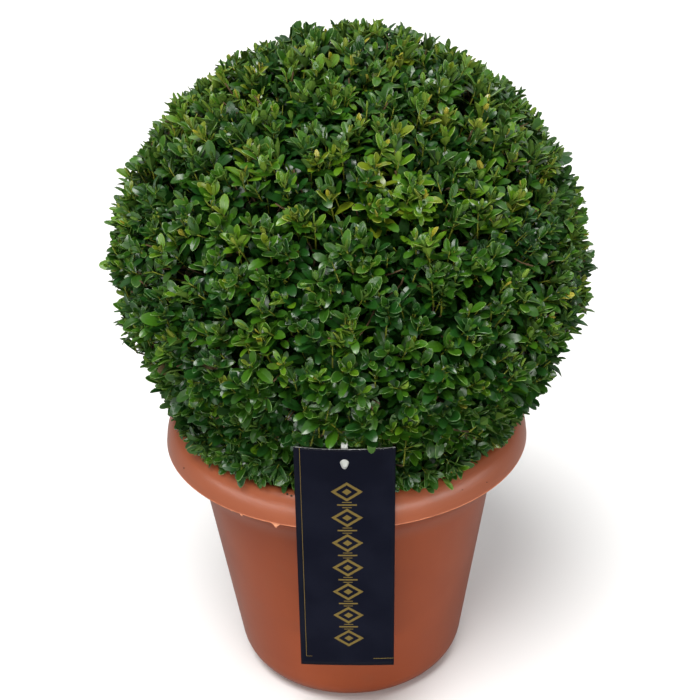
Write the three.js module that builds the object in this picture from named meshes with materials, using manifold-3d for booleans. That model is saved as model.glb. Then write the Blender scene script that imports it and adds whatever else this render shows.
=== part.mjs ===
// A clipped box ball in a terracotta-coloured plastic pot, with a hang tag.
// Millimetres, +Z up. The origin is the centre of the pot's flat underside, and -Y is the front.
import * as THREE from 'three';
import { mergeVertices } from 'three/addons/utils/BufferGeometryUtils.js';
import Module from 'manifold-3d';

const wasm = await Module();
wasm.setup();

// ---------- driving dimensions ----------

const GAP = 0.3; // between pieces that touch

// pot
const POT_SEGMENTS = 48;
const BASE_RADIUS = 100.4; // where the straight wall would meet the floor
const BASE_CORNER_RADIUS = 28.9;
const WALL_TOP_RADIUS = 135.2; // the straight wall carried up to the lip's height
const LIP_HEIGHT = 231.9; // the rim's parting edge above the floor
const LIP_RADIUS = 159.1;
const COVE_HEIGHT = 40; // the cove that carries the wall out to the lip
const COVE_RADIUS = 157.9; // its top, just inside the lip
const COVE_POWER = 2.1;
const CREST_RADIUS = 145;
const CREST_HEIGHT = 258;
const INNER_ROLL_RADIUS = 8;
const INNER_ROLL_HEIGHT = 9;
const INNER_SKIN_BOTTOM = 236; // the rim's skin ends here inside the mouth
const WALL_THICKNESS = 3;
const COVE_THICKNESS = 3.6; // measured level, so that the sloping cove is as thick as the wall
const RIM_SKIN_FOOT = 0.15; // radians up the dome, where its inner face meets the cove's

// potting mix
const SOIL_TOP = 238;
const SOIL_MOUND = 3; // how far the middle stands above the edge
const SOIL_EDGE_INSET = 1.6; // at its top edge, from the pot's mouth
const SOIL_SHOULDER = 6; // it reaches that edge this far below the rim's inner skin

// stem
const STEM_BOTTOM = SOIL_TOP + SOIL_MOUND + GAP;
const STEM_TOP = 305;
const STEM_FLARE_RADIUS = 15;
const STEM_RADIUS = 10.5;
const STEM_TIP_RADIUS = 8;
const STEM_LEAN = 3; // sideways run of the tip
const STEM_FLARE_FADE = 7; // how fast the root flare dies away up the stem
const STEM_SEGMENTS = 14;

// clipped crown
const CROWN_RADIUS = 200;
const CROWN_CENTRE_HEIGHT = 395.1;
const CROWN_RISE = 194; // centre to top
const CROWN_DROP = 173; // centre to the bottom of the full ball
const CROWN_SHIFT = 6.5; // the ball stands a little to the right of the pot's axis
const SKIRT_RADIUS = 147.5; // leaves that hang down to the rim
const SKIRT_HEIGHT = 262.5;
const SKIRT_TOP = 286; // above this the crown is the ball
const CROWN_BOTTOM = SOIL_TOP + SOIL_MOUND + 3;
const MOUTH_CLEARANCE = 2;
const CROWN_SEGMENTS = 44;
const CROWN_RINGS = 18;
const LUMP_COUNT = 80; // small swells and hollows left by the shears
const LUMP_HEIGHT = 4;
const LUMP_SPREAD = 0.15; // radians
const OUTLINE_LEAN = 0.483; // the outline circle leans back from the XZ plane, in radians
// swells (+) and flats (-) on the outline circle: [angle from +X in degrees, height]
const OUTLINE_SWELLS = [[-20, -4], [18, 3], [70, -2.5], [130, -3], [176, 3], [219, 3]];
const SWELL_SPREAD = 0.24;

// hang tag
const TAG_WIDTH = 78.4;
const TAG_LENGTH = 223.9;
const TAG_THICKNESS = 0.9;
const TAG_BOW = 3; // the card curves round the rim by this much
const TAG_CENTRE = new THREE.Vector3(-3.3, -155.9, 199.7);
const TAG_TILT = 0.0574; // top towards the front
const TAG_ROLL = 0.0128;
const TAG_YAW = -0.0372;
const HOLE_DOWN = 12.5; // below the card's top edge
const HOLE_RADIUS = 3.4;
const HOLE_POINT = 5.6; // the drop's point, below the hole's centre

// tie that holds the tag
const TIE_WIDTH = 5;
const TIE_THICKNESS = 0.9;
const TIE_HEAD_WIDTH = 12;
const TIE_HEAD_LENGTH = 15;
const TIE_RISE = 3.2; // how far the loop shows above the card
const TIE_HEAD_SHARE = 0.27; // of the band's length, taken by its wide head
const NOTCH_CLEARANCE = 2;

// ---------- solids ----------

/** Merges shared vertices and drops triangles that have no area. */
function weld(geometry) {
  geometry.deleteAttribute('normal');
  geometry.deleteAttribute('uv');
  const merged = mergeVertices(geometry, 1e-3);
  const kept = [];
  const index = merged.index.array;
  for (let i = 0; i < index.length; i += 3) {
    const [a, b, c] = index.slice(i, i + 3);
    if (a !== b && b !== c && c !== a) kept.push(a, b, c);
  }
  merged.setIndex(kept);
  return merged;
}

/** A closed geometry as a manifold solid. */
function solidOf(geometry) {
  const welded = weld(geometry);
  return new wasm.Manifold(new wasm.Mesh({
    numProp: 3,
    vertProperties: new Float32Array(welded.attributes.position.array),
    triVerts: new Uint32Array(welded.index.array),
  }));
}

/** A manifold solid as a geometry. */
function geometryOf(solid) {
  const mesh = solid.getMesh();
  const geometry = new THREE.BufferGeometry();
  geometry.setAttribute('position', new THREE.BufferAttribute(new Float32Array(mesh.vertProperties), 3));
  geometry.setIndex(new THREE.BufferAttribute(new Uint32Array(mesh.triVerts), 1));
  geometry.computeVertexNormals();
  return geometry;
}

/** Turns a profile of [radius, height] pairs round the Z axis. */
function turned(profile, segments) {
  const points = profile.map(([radius, height]) => new THREE.Vector2(radius, height));
  return new THREE.LatheGeometry(points, segments).rotateX(Math.PI / 2);
}

/** Points of an elliptical arc in a profile, from one angle to another in radians. */
function arc(centreR, centreZ, radiusR, radiusZ, from, to, steps) {
  const points = [];
  for (let i = 0; i <= steps; i += 1) {
    const angle = from + ((to - from) * i) / steps;
    points.push([centreR + radiusR * Math.cos(angle), centreZ + radiusZ * Math.sin(angle)]);
  }
  return points;
}

function named(name, geometry, material) {
  const mesh = new THREE.Mesh(geometry, material);
  mesh.name = name;
  return mesh;
}

// ---------- pot ----------

const WALL_SLOPE = (WALL_TOP_RADIUS - BASE_RADIUS) / LIP_HEIGHT;
const COVE_FOOT = LIP_HEIGHT - COVE_HEIGHT;

/** Outer radius of the straight wall at a height. */
function wallRadius(height) {
  return BASE_RADIUS + WALL_SLOPE * height;
}

/** Outer radius of the cove at a height. */
function coveRadius(height) {
  const rise = Math.max(0, (height - COVE_FOOT) / COVE_HEIGHT);
  return wallRadius(height) + (COVE_RADIUS - WALL_TOP_RADIUS) * rise ** COVE_POWER;
}

/** Rounded corner between a flat floor and the straight wall moved in by an inset. */
function floorCorner(floor, inset, radius, steps) {
  const lean = Math.atan(WALL_SLOPE);
  const height = floor + radius;
  const centre = wallRadius(height) - inset - radius / Math.cos(lean);
  return arc(centre, height, radius, radius, -Math.PI / 2, -lean, steps);
}

/** The pot's floor and straight wall, up to the foot of the cove. */
function potGeometry() {
  const top = COVE_FOOT - GAP;
  return turned([
    [0, 0],
    ...floorCorner(0, 0, BASE_CORNER_RADIUS, 5),
    [wallRadius(top), top],
    [wallRadius(top) - WALL_THICKNESS, top],
    ...floorCorner(WALL_THICKNESS, WALL_THICKNESS, BASE_CORNER_RADIUS - WALL_THICKNESS, 5).reverse(),
    [0, WALL_THICKNESS],
  ], POT_SEGMENTS);
}

/** Points up the cove between two heights, moved in by an inset. */
function covePoints(from, to, inset, steps) {
  const points = [];
  for (let i = 0; i <= steps; i += 1) {
    const height = THREE.MathUtils.lerp(from, to, i / steps);
    points.push([coveRadius(height) - inset, height]);
  }
  return points;
}

/** The rolled rim: one skin that runs out along the cove, round the lip and crest, and into the mouth. */
function rimGeometry() {
  const quarter = Math.PI / 2;
  const domeRadius = LIP_RADIUS - CREST_RADIUS;
  const domeHeight = CREST_HEIGHT - LIP_HEIGHT;
  const rollCentre = CREST_HEIGHT - INNER_ROLL_HEIGHT;
  const mouth = CREST_RADIUS - INNER_ROLL_RADIUS;
  const skin = WALL_THICKNESS;
  return turned([
    ...covePoints(COVE_FOOT, LIP_HEIGHT, 0, 6),
    ...arc(CREST_RADIUS, LIP_HEIGHT, domeRadius, domeHeight, 0, quarter, 6),
    ...arc(CREST_RADIUS, rollCentre, INNER_ROLL_RADIUS, INNER_ROLL_HEIGHT, quarter, 2 * quarter, 4).slice(1),
    [mouth, INNER_SKIN_BOTTOM],
    [mouth + skin, INNER_SKIN_BOTTOM],
    ...arc(
      CREST_RADIUS, rollCentre, INNER_ROLL_RADIUS - skin, INNER_ROLL_HEIGHT - skin,
      2 * quarter, quarter, 3,
    ),
    ...arc(
      CREST_RADIUS, LIP_HEIGHT, domeRadius - skin, domeHeight - skin,
      quarter, RIM_SKIN_FOOT, 4,
    ).slice(1),
    ...covePoints(LIP_HEIGHT - skin, COVE_FOOT, COVE_THICKNESS, 4),
    [coveRadius(COVE_FOOT), COVE_FOOT],
  ], POT_SEGMENTS);
}

// ---------- potting mix ----------

function soilGeometry() {
  const inset = WALL_THICKNESS + GAP * 2;
  const floor = WALL_THICKNESS + GAP;
  const corner = BASE_CORNER_RADIUS - inset;
  const edge = CREST_RADIUS - INNER_ROLL_RADIUS - SOIL_EDGE_INSET;
  return turned([
    [0, floor],
    ...floorCorner(floor, inset, corner, 5),
    [wallRadius(COVE_FOOT) - COVE_THICKNESS - GAP, COVE_FOOT],
    [edge, INNER_SKIN_BOTTOM - SOIL_SHOULDER],
    [edge, SOIL_TOP],
    [edge * 0.6, SOIL_TOP + SOIL_MOUND * 0.7],
    [STEM_FLARE_RADIUS * 2, SOIL_TOP + SOIL_MOUND],
    [0, SOIL_TOP + SOIL_MOUND],
  ], POT_SEGMENTS);
}

// ---------- stem ----------

/** Stem radius from its flat cut (0) to its fork (1), with the root flare at the foot. */
function stemRadius(along) {
  const flare = (STEM_FLARE_RADIUS - STEM_RADIUS) * Math.exp(-along * STEM_FLARE_FADE);
  return THREE.MathUtils.lerp(STEM_RADIUS, STEM_TIP_RADIUS, along) + flare;
}

/** The stem, grown all round by a margin and leaning with the real one. */
function stemGeometry(margin) {
  const rings = 7;
  const profile = [[0, STEM_BOTTOM - margin]];
  for (let i = 0; i <= rings; i += 1) {
    const along = i / rings;
    const height = THREE.MathUtils.lerp(STEM_BOTTOM - margin, STEM_TOP + margin, along);
    profile.push([stemRadius(along) + margin, height]);
  }
  profile.push([0, STEM_TOP + margin]);
  const geometry = turned(profile, STEM_SEGMENTS);
  const lean = STEM_LEAN / (STEM_TOP - STEM_BOTTOM);
  const position = geometry.attributes.position;
  for (let i = 0; i < position.count; i += 1) {
    position.setX(i, position.getX(i) + lean * (position.getZ(i) - STEM_BOTTOM));
  }
  return geometry;
}

// ---------- crown ----------

/** Bump with a given height and spread, seen at an angle from its middle. */
function bump(angle, height, spread) {
  return height * Math.exp(-(angle * angle) / (2 * spread * spread));
}

/** Directions and heights of the small lumps, spread evenly over the ball. */
function shearedLumps() {
  const goldenAngle = Math.PI * (3 - Math.sqrt(5));
  const lumps = [];
  for (let i = 0; i < LUMP_COUNT; i += 1) {
    const z = 1 - (2 * (i + 0.5)) / LUMP_COUNT;
    const ring = Math.sqrt(1 - z * z);
    const direction = new THREE.Vector3(ring * Math.cos(i * goldenAngle), ring * Math.sin(i * goldenAngle), z);
    lumps.push({ direction, height: LUMP_HEIGHT * Math.sin(i * 2.3 + 0.7), spread: LUMP_SPREAD });
  }
  return lumps;
}

/** Larger swells and flats on the leaning outline circle. */
function outlineSwells() {
  const up = new THREE.Vector3(0, Math.sin(OUTLINE_LEAN), Math.cos(OUTLINE_LEAN));
  return OUTLINE_SWELLS.map(([degrees, height]) => {
    const angle = THREE.MathUtils.degToRad(degrees);
    const direction = new THREE.Vector3(Math.cos(angle), 0, 0).addScaledVector(up, Math.sin(angle));
    return { direction, height, spread: SWELL_SPREAD };
  });
}

/** The crown's profile: flat over the soil, up the pot's mouth, out over the rim, round the ball. */
function crownProfile() {
  const rollCentre = CREST_HEIGHT - INNER_ROLL_HEIGHT;
  const mouth = arc(
    CREST_RADIUS, rollCentre, INNER_ROLL_RADIUS + MOUTH_CLEARANCE, INNER_ROLL_HEIGHT + MOUTH_CLEARANCE,
    Math.PI, Math.PI / 2, 3,
  );
  const start = Math.asin((SKIRT_TOP - CROWN_CENTRE_HEIGHT) / CROWN_DROP);
  const profile = [
    [0, CROWN_BOTTOM],
    [mouth[0][0] * 0.5, CROWN_BOTTOM],
    [mouth[0][0] - 1, CROWN_BOTTOM],
    ...mouth,
    [SKIRT_RADIUS, SKIRT_HEIGHT],
  ];
  for (let i = 0; i <= CROWN_RINGS; i += 1) {
    const angle = THREE.MathUtils.lerp(start, Math.PI / 2, i / CROWN_RINGS);
    const reach = angle < 0 ? CROWN_DROP : CROWN_RISE;
    profile.push([CROWN_RADIUS * Math.cos(angle), CROWN_CENTRE_HEIGHT + reach * Math.sin(angle)]);
  }
  profile[profile.length - 1][0] = 0;
  return profile;
}

function crownBody() {
  const geometry = turned(crownProfile(), CROWN_SEGMENTS);
  const centre = new THREE.Vector3(0, 0, CROWN_CENTRE_HEIGHT);
  const lumps = [...shearedLumps(), ...outlineSwells()];
  const position = geometry.attributes.position;
  const point = new THREE.Vector3();
  for (let i = 0; i < position.count; i += 1) {
    point.fromBufferAttribute(position, i);
    const free = THREE.MathUtils.smoothstep(point.z, SKIRT_HEIGHT, SKIRT_TOP + 20);
    const outward = point.clone().sub(centre).normalize();
    let height = 0;
    for (const lump of lumps) {
      height += bump(outward.angleTo(lump.direction), lump.height, lump.spread);
    }
    point.addScaledVector(outward, height * free);
    point.x += CROWN_SHIFT * free;
    position.setXYZ(i, point.x, point.y, point.z);
  }
  return solidOf(geometry);
}

// ---------- tag and tie ----------

/** Height of the bowed card's middle surface at a distance from its centre line. */
function bowAt(x) {
  const half = TAG_WIDTH / 2;
  return TAG_BOW * (1 - (x * x) / (half * half));
}

/** A bowed strip of card in its own frame: X across, Y up the card, Z out of its front. */
function bowedCard(width, length, front, back) {
  const steps = 8;
  const outline = new THREE.Shape();
  for (let i = 0; i <= steps; i += 1) {
    const x = (i / steps - 0.5) * width;
    if (i === 0) outline.moveTo(x, bowAt(x) + back);
    else outline.lineTo(x, bowAt(x) + back);
  }
  for (let i = steps; i >= 0; i -= 1) {
    const x = (i / steps - 0.5) * width;
    outline.lineTo(x, bowAt(x) + front);
  }
  const geometry = new THREE.ExtrudeGeometry(outline, { depth: length, bevelEnabled: false });
  return geometry.rotateX(Math.PI / 2).translate(0, length / 2, 0);
}

/** The drop-shaped hole: a round top that runs down to a blunt point. */
function holeCutter() {
  const outline = new THREE.Shape();
  outline.absarc(0, 0, HOLE_RADIUS, 0, Math.PI, false);
  outline.lineTo(-1.2, -HOLE_POINT);
  outline.lineTo(1.2, -HOLE_POINT);
  const geometry = new THREE.ExtrudeGeometry(outline, { depth: 20, bevelEnabled: false, curveSegments: 6 });
  return solidOf(geometry.translate(0, TAG_LENGTH / 2 - HOLE_DOWN, -10));
}

function tagGeometry() {
  const card = solidOf(bowedCard(TAG_WIDTH, TAG_LENGTH, TAG_THICKNESS / 2, -TAG_THICKNESS / 2));
  return geometryOf(card.subtract(holeCutter()));
}

/** The tie's route behind the card, in the card's frame: [up the card, out of its front]. */
function tieRoute() {
  const back = TAG_BOW - TAG_THICKNESS / 2 - GAP - TIE_THICKNESS / 2;
  const top = TAG_LENGTH / 2;
  const hole = top - HOLE_DOWN;
  return new THREE.SplineCurve([
    new THREE.Vector2(hole - TIE_HEAD_LENGTH / 2, back),
    new THREE.Vector2(hole, back),
    new THREE.Vector2(hole + 8, back),
    new THREE.Vector2(top - 3, back - 0.3),
    new THREE.Vector2(top + TIE_RISE - 0.6, back - 1.6),
    new THREE.Vector2(top + TIE_RISE - 1.4, back - 4.2),
    new THREE.Vector2(top - 4, back - 7),
    new THREE.Vector2(top - 10, back - 10.5),
  ]);
}

/** A flat band that follows the route, grown all round by a margin. */
function bandGeometry(from, to, width, margin) {
  const steps = 14;
  const curve = tieRoute();
  const sides = [[], []];
  for (let i = 0; i <= steps; i += 1) {
    const at = THREE.MathUtils.lerp(from, to, i / steps);
    const point = curve.getPoint(at);
    const along = curve.getTangent(at);
    const out = new THREE.Vector2(-along.y, along.x).multiplyScalar(TIE_THICKNESS / 2 + margin);
    const reach = i === 0 ? -margin : i === steps ? margin : 0;
    const end = along.clone().multiplyScalar(reach);
    sides[0].push(point.clone().add(out).add(end));
    sides[1].unshift(point.clone().sub(out).add(end));
  }
  const depth = width + margin * 2;
  const shape = new THREE.Shape([...sides[0], ...sides[1]]);
  const geometry = new THREE.ExtrudeGeometry(shape, { depth, bevelEnabled: false });
  // the shape's X runs up the card and its Y out of the front
  const basis = new THREE.Matrix4().makeBasis(
    new THREE.Vector3(0, 1, 0), new THREE.Vector3(0, 0, 1), new THREE.Vector3(1, 0, 0),
  );
  return geometry.translate(0, 0, -depth / 2).applyMatrix4(basis);
}

function tieSolid(margin) {
  const band = solidOf(bandGeometry(0, 1, TIE_WIDTH, margin));
  const head = solidOf(bandGeometry(0, TIE_HEAD_SHARE, TIE_HEAD_WIDTH, margin));
  return band.add(head);
}

/** Where the hanging tag's frame stands in the part. */
function tagFrame() {
  const frame = new THREE.Group();
  frame.position.copy(TAG_CENTRE);
  // the card's own axes: X across, Y up, Z to the front
  const hanging = new THREE.Quaternion().setFromEuler(new THREE.Euler(TAG_TILT, TAG_ROLL, TAG_YAW, 'ZXY'));
  const upright = new THREE.Quaternion().setFromAxisAngle(new THREE.Vector3(1, 0, 0), Math.PI / 2);
  frame.quaternion.copy(hanging).multiply(upright);
  frame.updateMatrix();
  return frame;
}

/** The space that the card and its tie take up, cut out of the crown. */
function tagPocket(frame) {
  const slab = bowedCard(TAG_WIDTH + NOTCH_CLEARANCE * 2, TAG_LENGTH + NOTCH_CLEARANCE, 40, -NOTCH_CLEARANCE);
  const cutter = solidOf(slab.applyMatrix4(frame.matrix));
  const around = geometryOf(tieSolid(NOTCH_CLEARANCE));
  return cutter.add(solidOf(around.applyMatrix4(frame.matrix)));
}

// ---------- materials ----------

function finish(color, roughness, metalness = 0) {
  return new THREE.MeshStandardMaterial({ color, roughness, metalness });
}

const materials = {
  pot: finish(0xb0694f, 0.45),
  soil: finish(0x2b2119, 0.95),
  bark: finish(0x6d5c45, 0.85),
  leaf: finish(0x355220, 0.5),
  card: finish(0x181c27, 0.35),
  tie: finish(0xc9ccc8, 0.4),
};

// ---------- assembly ----------

const tagHolder = tagFrame();
const crown = crownBody()
  .subtract(solidOf(stemGeometry(GAP)))
  .subtract(tagPocket(tagHolder));

tagHolder.add(named('tag', tagGeometry(), materials.card));
tagHolder.add(named('tag_tie', geometryOf(tieSolid(0)), materials.tie));

const group = new THREE.Group();
group.add(named('pot', potGeometry(), materials.pot));
group.add(named('pot_rim', rimGeometry(), materials.pot));
group.add(named('potting_mix', soilGeometry(), materials.soil));
group.add(named('stem', stemGeometry(0), materials.bark));
group.add(named('foliage_ball', geometryOf(crown), materials.leaf));
group.add(tagHolder);

export default group;
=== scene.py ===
"""Finished look of a clipped box ball in its pot: foliage, bark, pot, potting mix, hang tag and studio.

Metres, +Z up. The origin is the centre of the pot's flat underside, and -Y is the front.
"""

import logging
import math
from dataclasses import dataclass, field, fields
from enum import Enum
from functools import cache

import bmesh
import bpy
import numpy as np
from mathutils import Matrix, Vector, noise
from mathutils.bvhtree import BVHTree


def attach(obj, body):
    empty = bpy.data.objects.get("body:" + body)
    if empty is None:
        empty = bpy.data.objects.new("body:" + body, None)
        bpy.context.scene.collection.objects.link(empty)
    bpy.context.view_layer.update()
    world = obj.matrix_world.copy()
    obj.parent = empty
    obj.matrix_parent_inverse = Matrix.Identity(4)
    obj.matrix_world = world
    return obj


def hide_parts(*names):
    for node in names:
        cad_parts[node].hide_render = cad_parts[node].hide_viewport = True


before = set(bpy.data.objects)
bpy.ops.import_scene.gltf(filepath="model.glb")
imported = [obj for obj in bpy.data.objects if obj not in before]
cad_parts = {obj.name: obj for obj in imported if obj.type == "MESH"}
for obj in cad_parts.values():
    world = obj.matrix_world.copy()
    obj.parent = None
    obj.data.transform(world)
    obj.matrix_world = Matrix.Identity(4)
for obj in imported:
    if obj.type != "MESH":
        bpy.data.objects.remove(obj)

LOG = logging.getLogger("box_ball")
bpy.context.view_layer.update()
BODY = "root"
SEED = 4107
MM = 0.001
AXIS_GAP = 0.5 * MM
GOLDEN_ANGLE = math.pi * (3 - math.sqrt(5))
UP = np.array([0.0, 0.0, 1.0])

Array = np.ndarray
Colour = tuple[float, float, float, float]
Pair = tuple[float, float]
Place = tuple[float, float, float]
Solid = tuple[Array, Array]
Piece = bpy.types.Object
Material = bpy.types.Material
Socket = bpy.types.NodeSocket
Random = np.random.Generator


# ---------- vectors and colours ----------


def unit(vectors: Array) -> Array:
    """Vectors scaled to length one."""
    length = np.linalg.norm(vectors, axis=-1, keepdims=True)
    return vectors / np.maximum(length, 1e-9)


def across(vectors: Array, rng: Random) -> Array:
    """A random unit vector square to each given unit vector."""
    helper = unit(rng.normal(size=vectors.shape))
    return unit(np.cross(vectors, helper))


def spiral_directions(count: int, jitter: float, rng: Random) -> Array:
    """Unit vectors spread evenly over a sphere.

    Args:
        count: number of directions.
        jitter: random shift of each one, in radians.
        rng: source of the shifts.

    Returns:
        Directions, (count, 3).
    """
    step = np.arange(count)
    height = 1 - 2 * (step + 0.5) / count
    ring = np.sqrt(1 - height**2)
    even = np.stack([ring * np.cos(step * GOLDEN_ANGLE), ring * np.sin(step * GOLDEN_ANGLE), height], axis=1)
    return unit(even + rng.normal(scale=jitter, size=even.shape))


def srgb(red: float, green: float, blue: float) -> Colour:
    """A display colour, 0 to 255 a channel, as a linear colour with alpha.

    Args:
        red: red, 0 to 255.
        green: green.
        blue: blue.

    Returns:
        Linear colour with alpha.
    """
    shares = [channel / 255 for channel in (red, green, blue)]
    linear = [s / 12.92 if s <= 0.04045 else ((s + 0.055) / 1.055) ** 2.4 for s in shares]
    return (linear[0], linear[1], linear[2], 1.0)


# ---------- meshes ----------


@dataclass
class MeshDraft:
    """Points and triangles gathered from many small shapes before they become one mesh."""

    points: list[Array] = field(default_factory=list)
    triangles: list[Array] = field(default_factory=list)
    finishes: list[Array] = field(default_factory=list)
    count: int = 0

    def add(self, points: Array, triangles: Array, finish: Array | int = 0) -> None:
        """Adds a shape.

        Args:
            points: its points, any shape that ends in 3.
            triangles: its triangles, any shape that ends in 3.
            finish: material number, one for all or one for each triangle.
        """
        flat = points.reshape(-1, 3)
        faces = triangles.reshape(-1, 3)
        self.points.append(flat)
        self.triangles.append(faces + self.count)
        self.finishes.append(np.broadcast_to(np.asarray(finish).reshape(-1), (len(faces),)))
        self.count += len(flat)

    def triangle_count(self) -> int:
        """Number of triangles so far."""
        return sum(len(faces) for faces in self.triangles)

    def build(self, name: str, materials: list[Material], smooth: bool = True) -> Piece:
        """Makes the mesh object.

        Args:
            name: the piece's name.
            materials: its material slots.
            smooth: whether its faces are shaded smooth.

        Returns:
            The object, linked to the scene.
        """
        points = np.concatenate(self.points).astype(np.float32)
        faces = np.concatenate(self.triangles).astype(np.int32)
        finishes = np.concatenate(self.finishes).astype(np.int32)
        mesh = bpy.data.meshes.new(name)
        mesh.vertices.add(len(points))
        mesh.vertices.foreach_set("co", points.ravel())
        mesh.loops.add(len(faces) * 3)
        mesh.loops.foreach_set("vertex_index", faces.ravel())
        mesh.polygons.add(len(faces))
        mesh.polygons.foreach_set("loop_start", np.arange(0, len(faces) * 3, 3, dtype=np.int32))
        mesh.polygons.foreach_set("material_index", finishes)
        mesh.polygons.foreach_set("use_smooth", np.full(len(faces), smooth))
        mesh.update(calc_edges=True)
        return placed(name, mesh, materials)


def placed(name: str, mesh: bpy.types.Mesh, materials: list[Material]) -> Piece:
    """Links a mesh to the scene as a piece with these materials.

    Args:
        name: the piece's name.
        mesh: its mesh.
        materials: its material slots.

    Returns:
        The piece.
    """
    piece = bpy.data.objects.new(name, mesh)
    bpy.context.scene.collection.objects.link(piece)
    for material in materials:
        mesh.materials.append(material)
    return piece


def grid_triangles(rows: int, columns: int, closed: bool) -> Array:
    """Triangles of a grid of points.

    Args:
        rows: number of rows of points.
        columns: number of points in a row.
        closed: whether each row's last point joins its first.

    Returns:
        Triangles, (count, 3).
    """
    steps = columns if closed else columns - 1
    row, column = np.meshgrid(np.arange(rows - 1), np.arange(steps), indexing="ij")
    beside = (column + 1) % columns
    a, b = row * columns + column, row * columns + beside
    c, d = (row + 1) * columns + beside, (row + 1) * columns + column
    return np.concatenate([np.stack([a, b, c], -1).reshape(-1, 3), np.stack([a, c, d], -1).reshape(-1, 3)])


def capped_triangles(rows: int, sides: int) -> Array:
    """Triangles of a tube of rings with a fan over each end.

    Args:
        rows: number of rings.
        sides: points in a ring.

    Returns:
        Triangles, (count, 3).
    """
    wall = grid_triangles(rows, sides, closed=True)
    fan = np.array([[0, k + 1, k] for k in range(1, sides - 1)])
    return np.concatenate([wall, fan, fan[:, ::-1] + (rows - 1) * sides])


def repeated(triangles: Array, copies: int, points_each: int) -> Array:
    """The same triangles for each of many copies of a shape."""
    return (triangles[None] + np.arange(copies)[:, None, None] * points_each).reshape(-1, 3)


def bezier(start: Array, start_pull: Array, end_pull: Array, end: Array, stations: int) -> Array:
    """Points on many cubic curves at once, (curves, stations, 3).

    Args:
        start: first point of each curve.
        start_pull: where it heads at first.
        end_pull: where it comes from at last.
        end: its last point.
        stations: points on each.

    Returns:
        Points, (curves, stations, 3).
    """
    t = np.linspace(0, 1, stations)[None, :, None]
    s = 1 - t
    pulls = s**3 * start[:, None] + 3 * s**2 * t * start_pull[:, None]
    return pulls + 3 * s * t**2 * end_pull[:, None] + t**3 * end[:, None]


def tubes(lines: Array, radii: Array, sides: int, rng: Random) -> Solid:
    """Closed tubes along many lines at once.

    Args:
        lines: points on each line, (tubes, stations, 3).
        radii: radius at each station, (tubes, stations).
        sides: number of sides.
        rng: turns each tube about its line.

    Returns:
        Points and triangles of all the tubes.
    """
    count, stations = lines.shape[:2]
    along = unit(np.gradient(lines, axis=1))
    side = across(along[:, 0], rng)
    turn = np.arange(sides) * 2 * math.pi / sides
    rings = []
    for station in range(stations):
        tangent = along[:, station]
        side = unit(side - np.sum(side * tangent, axis=1, keepdims=True) * tangent)
        over = np.cross(tangent, side)
        ring = np.cos(turn)[None, :, None] * side[:, None] + np.sin(turn)[None, :, None] * over[:, None]
        rings.append(lines[:, station, None] + ring * radii[:, station, None, None])
    points = np.stack(rings, axis=1)
    return points.reshape(-1, 3), repeated(capped_triangles(stations, sides), count, stations * sides)


def turned_surface(profile: Array, segments: int) -> Solid:
    """A profile of (radius, height) pairs turned round the Z axis and closed at its two ends.

    Args:
        profile: (radius, height) pairs.
        segments: steps round the axis.

    Returns:
        Points, (rows, segments, 3), and triangles.
    """
    angle = np.arange(segments) * 2 * math.pi / segments
    radius, height = profile[:, 0, None], profile[:, 1, None]
    points = np.stack([radius * np.cos(angle), radius * np.sin(angle), height + 0 * angle], axis=-1)
    return points, capped_triangles(len(profile), segments)


def arc(centre: Pair, radii: Pair, start: float, end: float, steps: int) -> Array:
    """Points of an elliptical arc in a profile, angles in radians."""
    angle = np.linspace(start, end, steps + 1)
    return np.stack([centre[0] + radii[0] * np.cos(angle), centre[1] + radii[1] * np.sin(angle)], axis=1)


def stops(edges: tuple[float, ...], counts: tuple[int, ...]) -> Array:
    """Places in a row, with as many between each edge and the next as its count says."""
    runs = [np.linspace(start, end, count) for start, end, count in zip(edges, edges[1:], counts)]
    return np.concatenate([runs[0], *(run[1:] for run in runs[1:])])


def finish_piece(piece: Piece, slot: str, nodes: tuple[str, ...]) -> None:
    """Ties a piece to the frame's body, hides the CAD nodes that it stands for, and logs its faces and slot.

    Args:
        piece: the piece.
        slot: name of its material slot, which is only logged.
        nodes: CAD nodes that it stands for.
    """
    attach(piece, BODY)
    if nodes:
        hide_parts(*nodes)
    LOG.info("%s: %d faces, slot %s", piece.name, len(piece.data.polygons), slot)


# ---------- shader groups and materials ----------


class Effect(Enum):
    """Shader effects that more than one material uses."""

    MOTTLE = "mottle"
    GRAIN = "grain"


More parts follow.
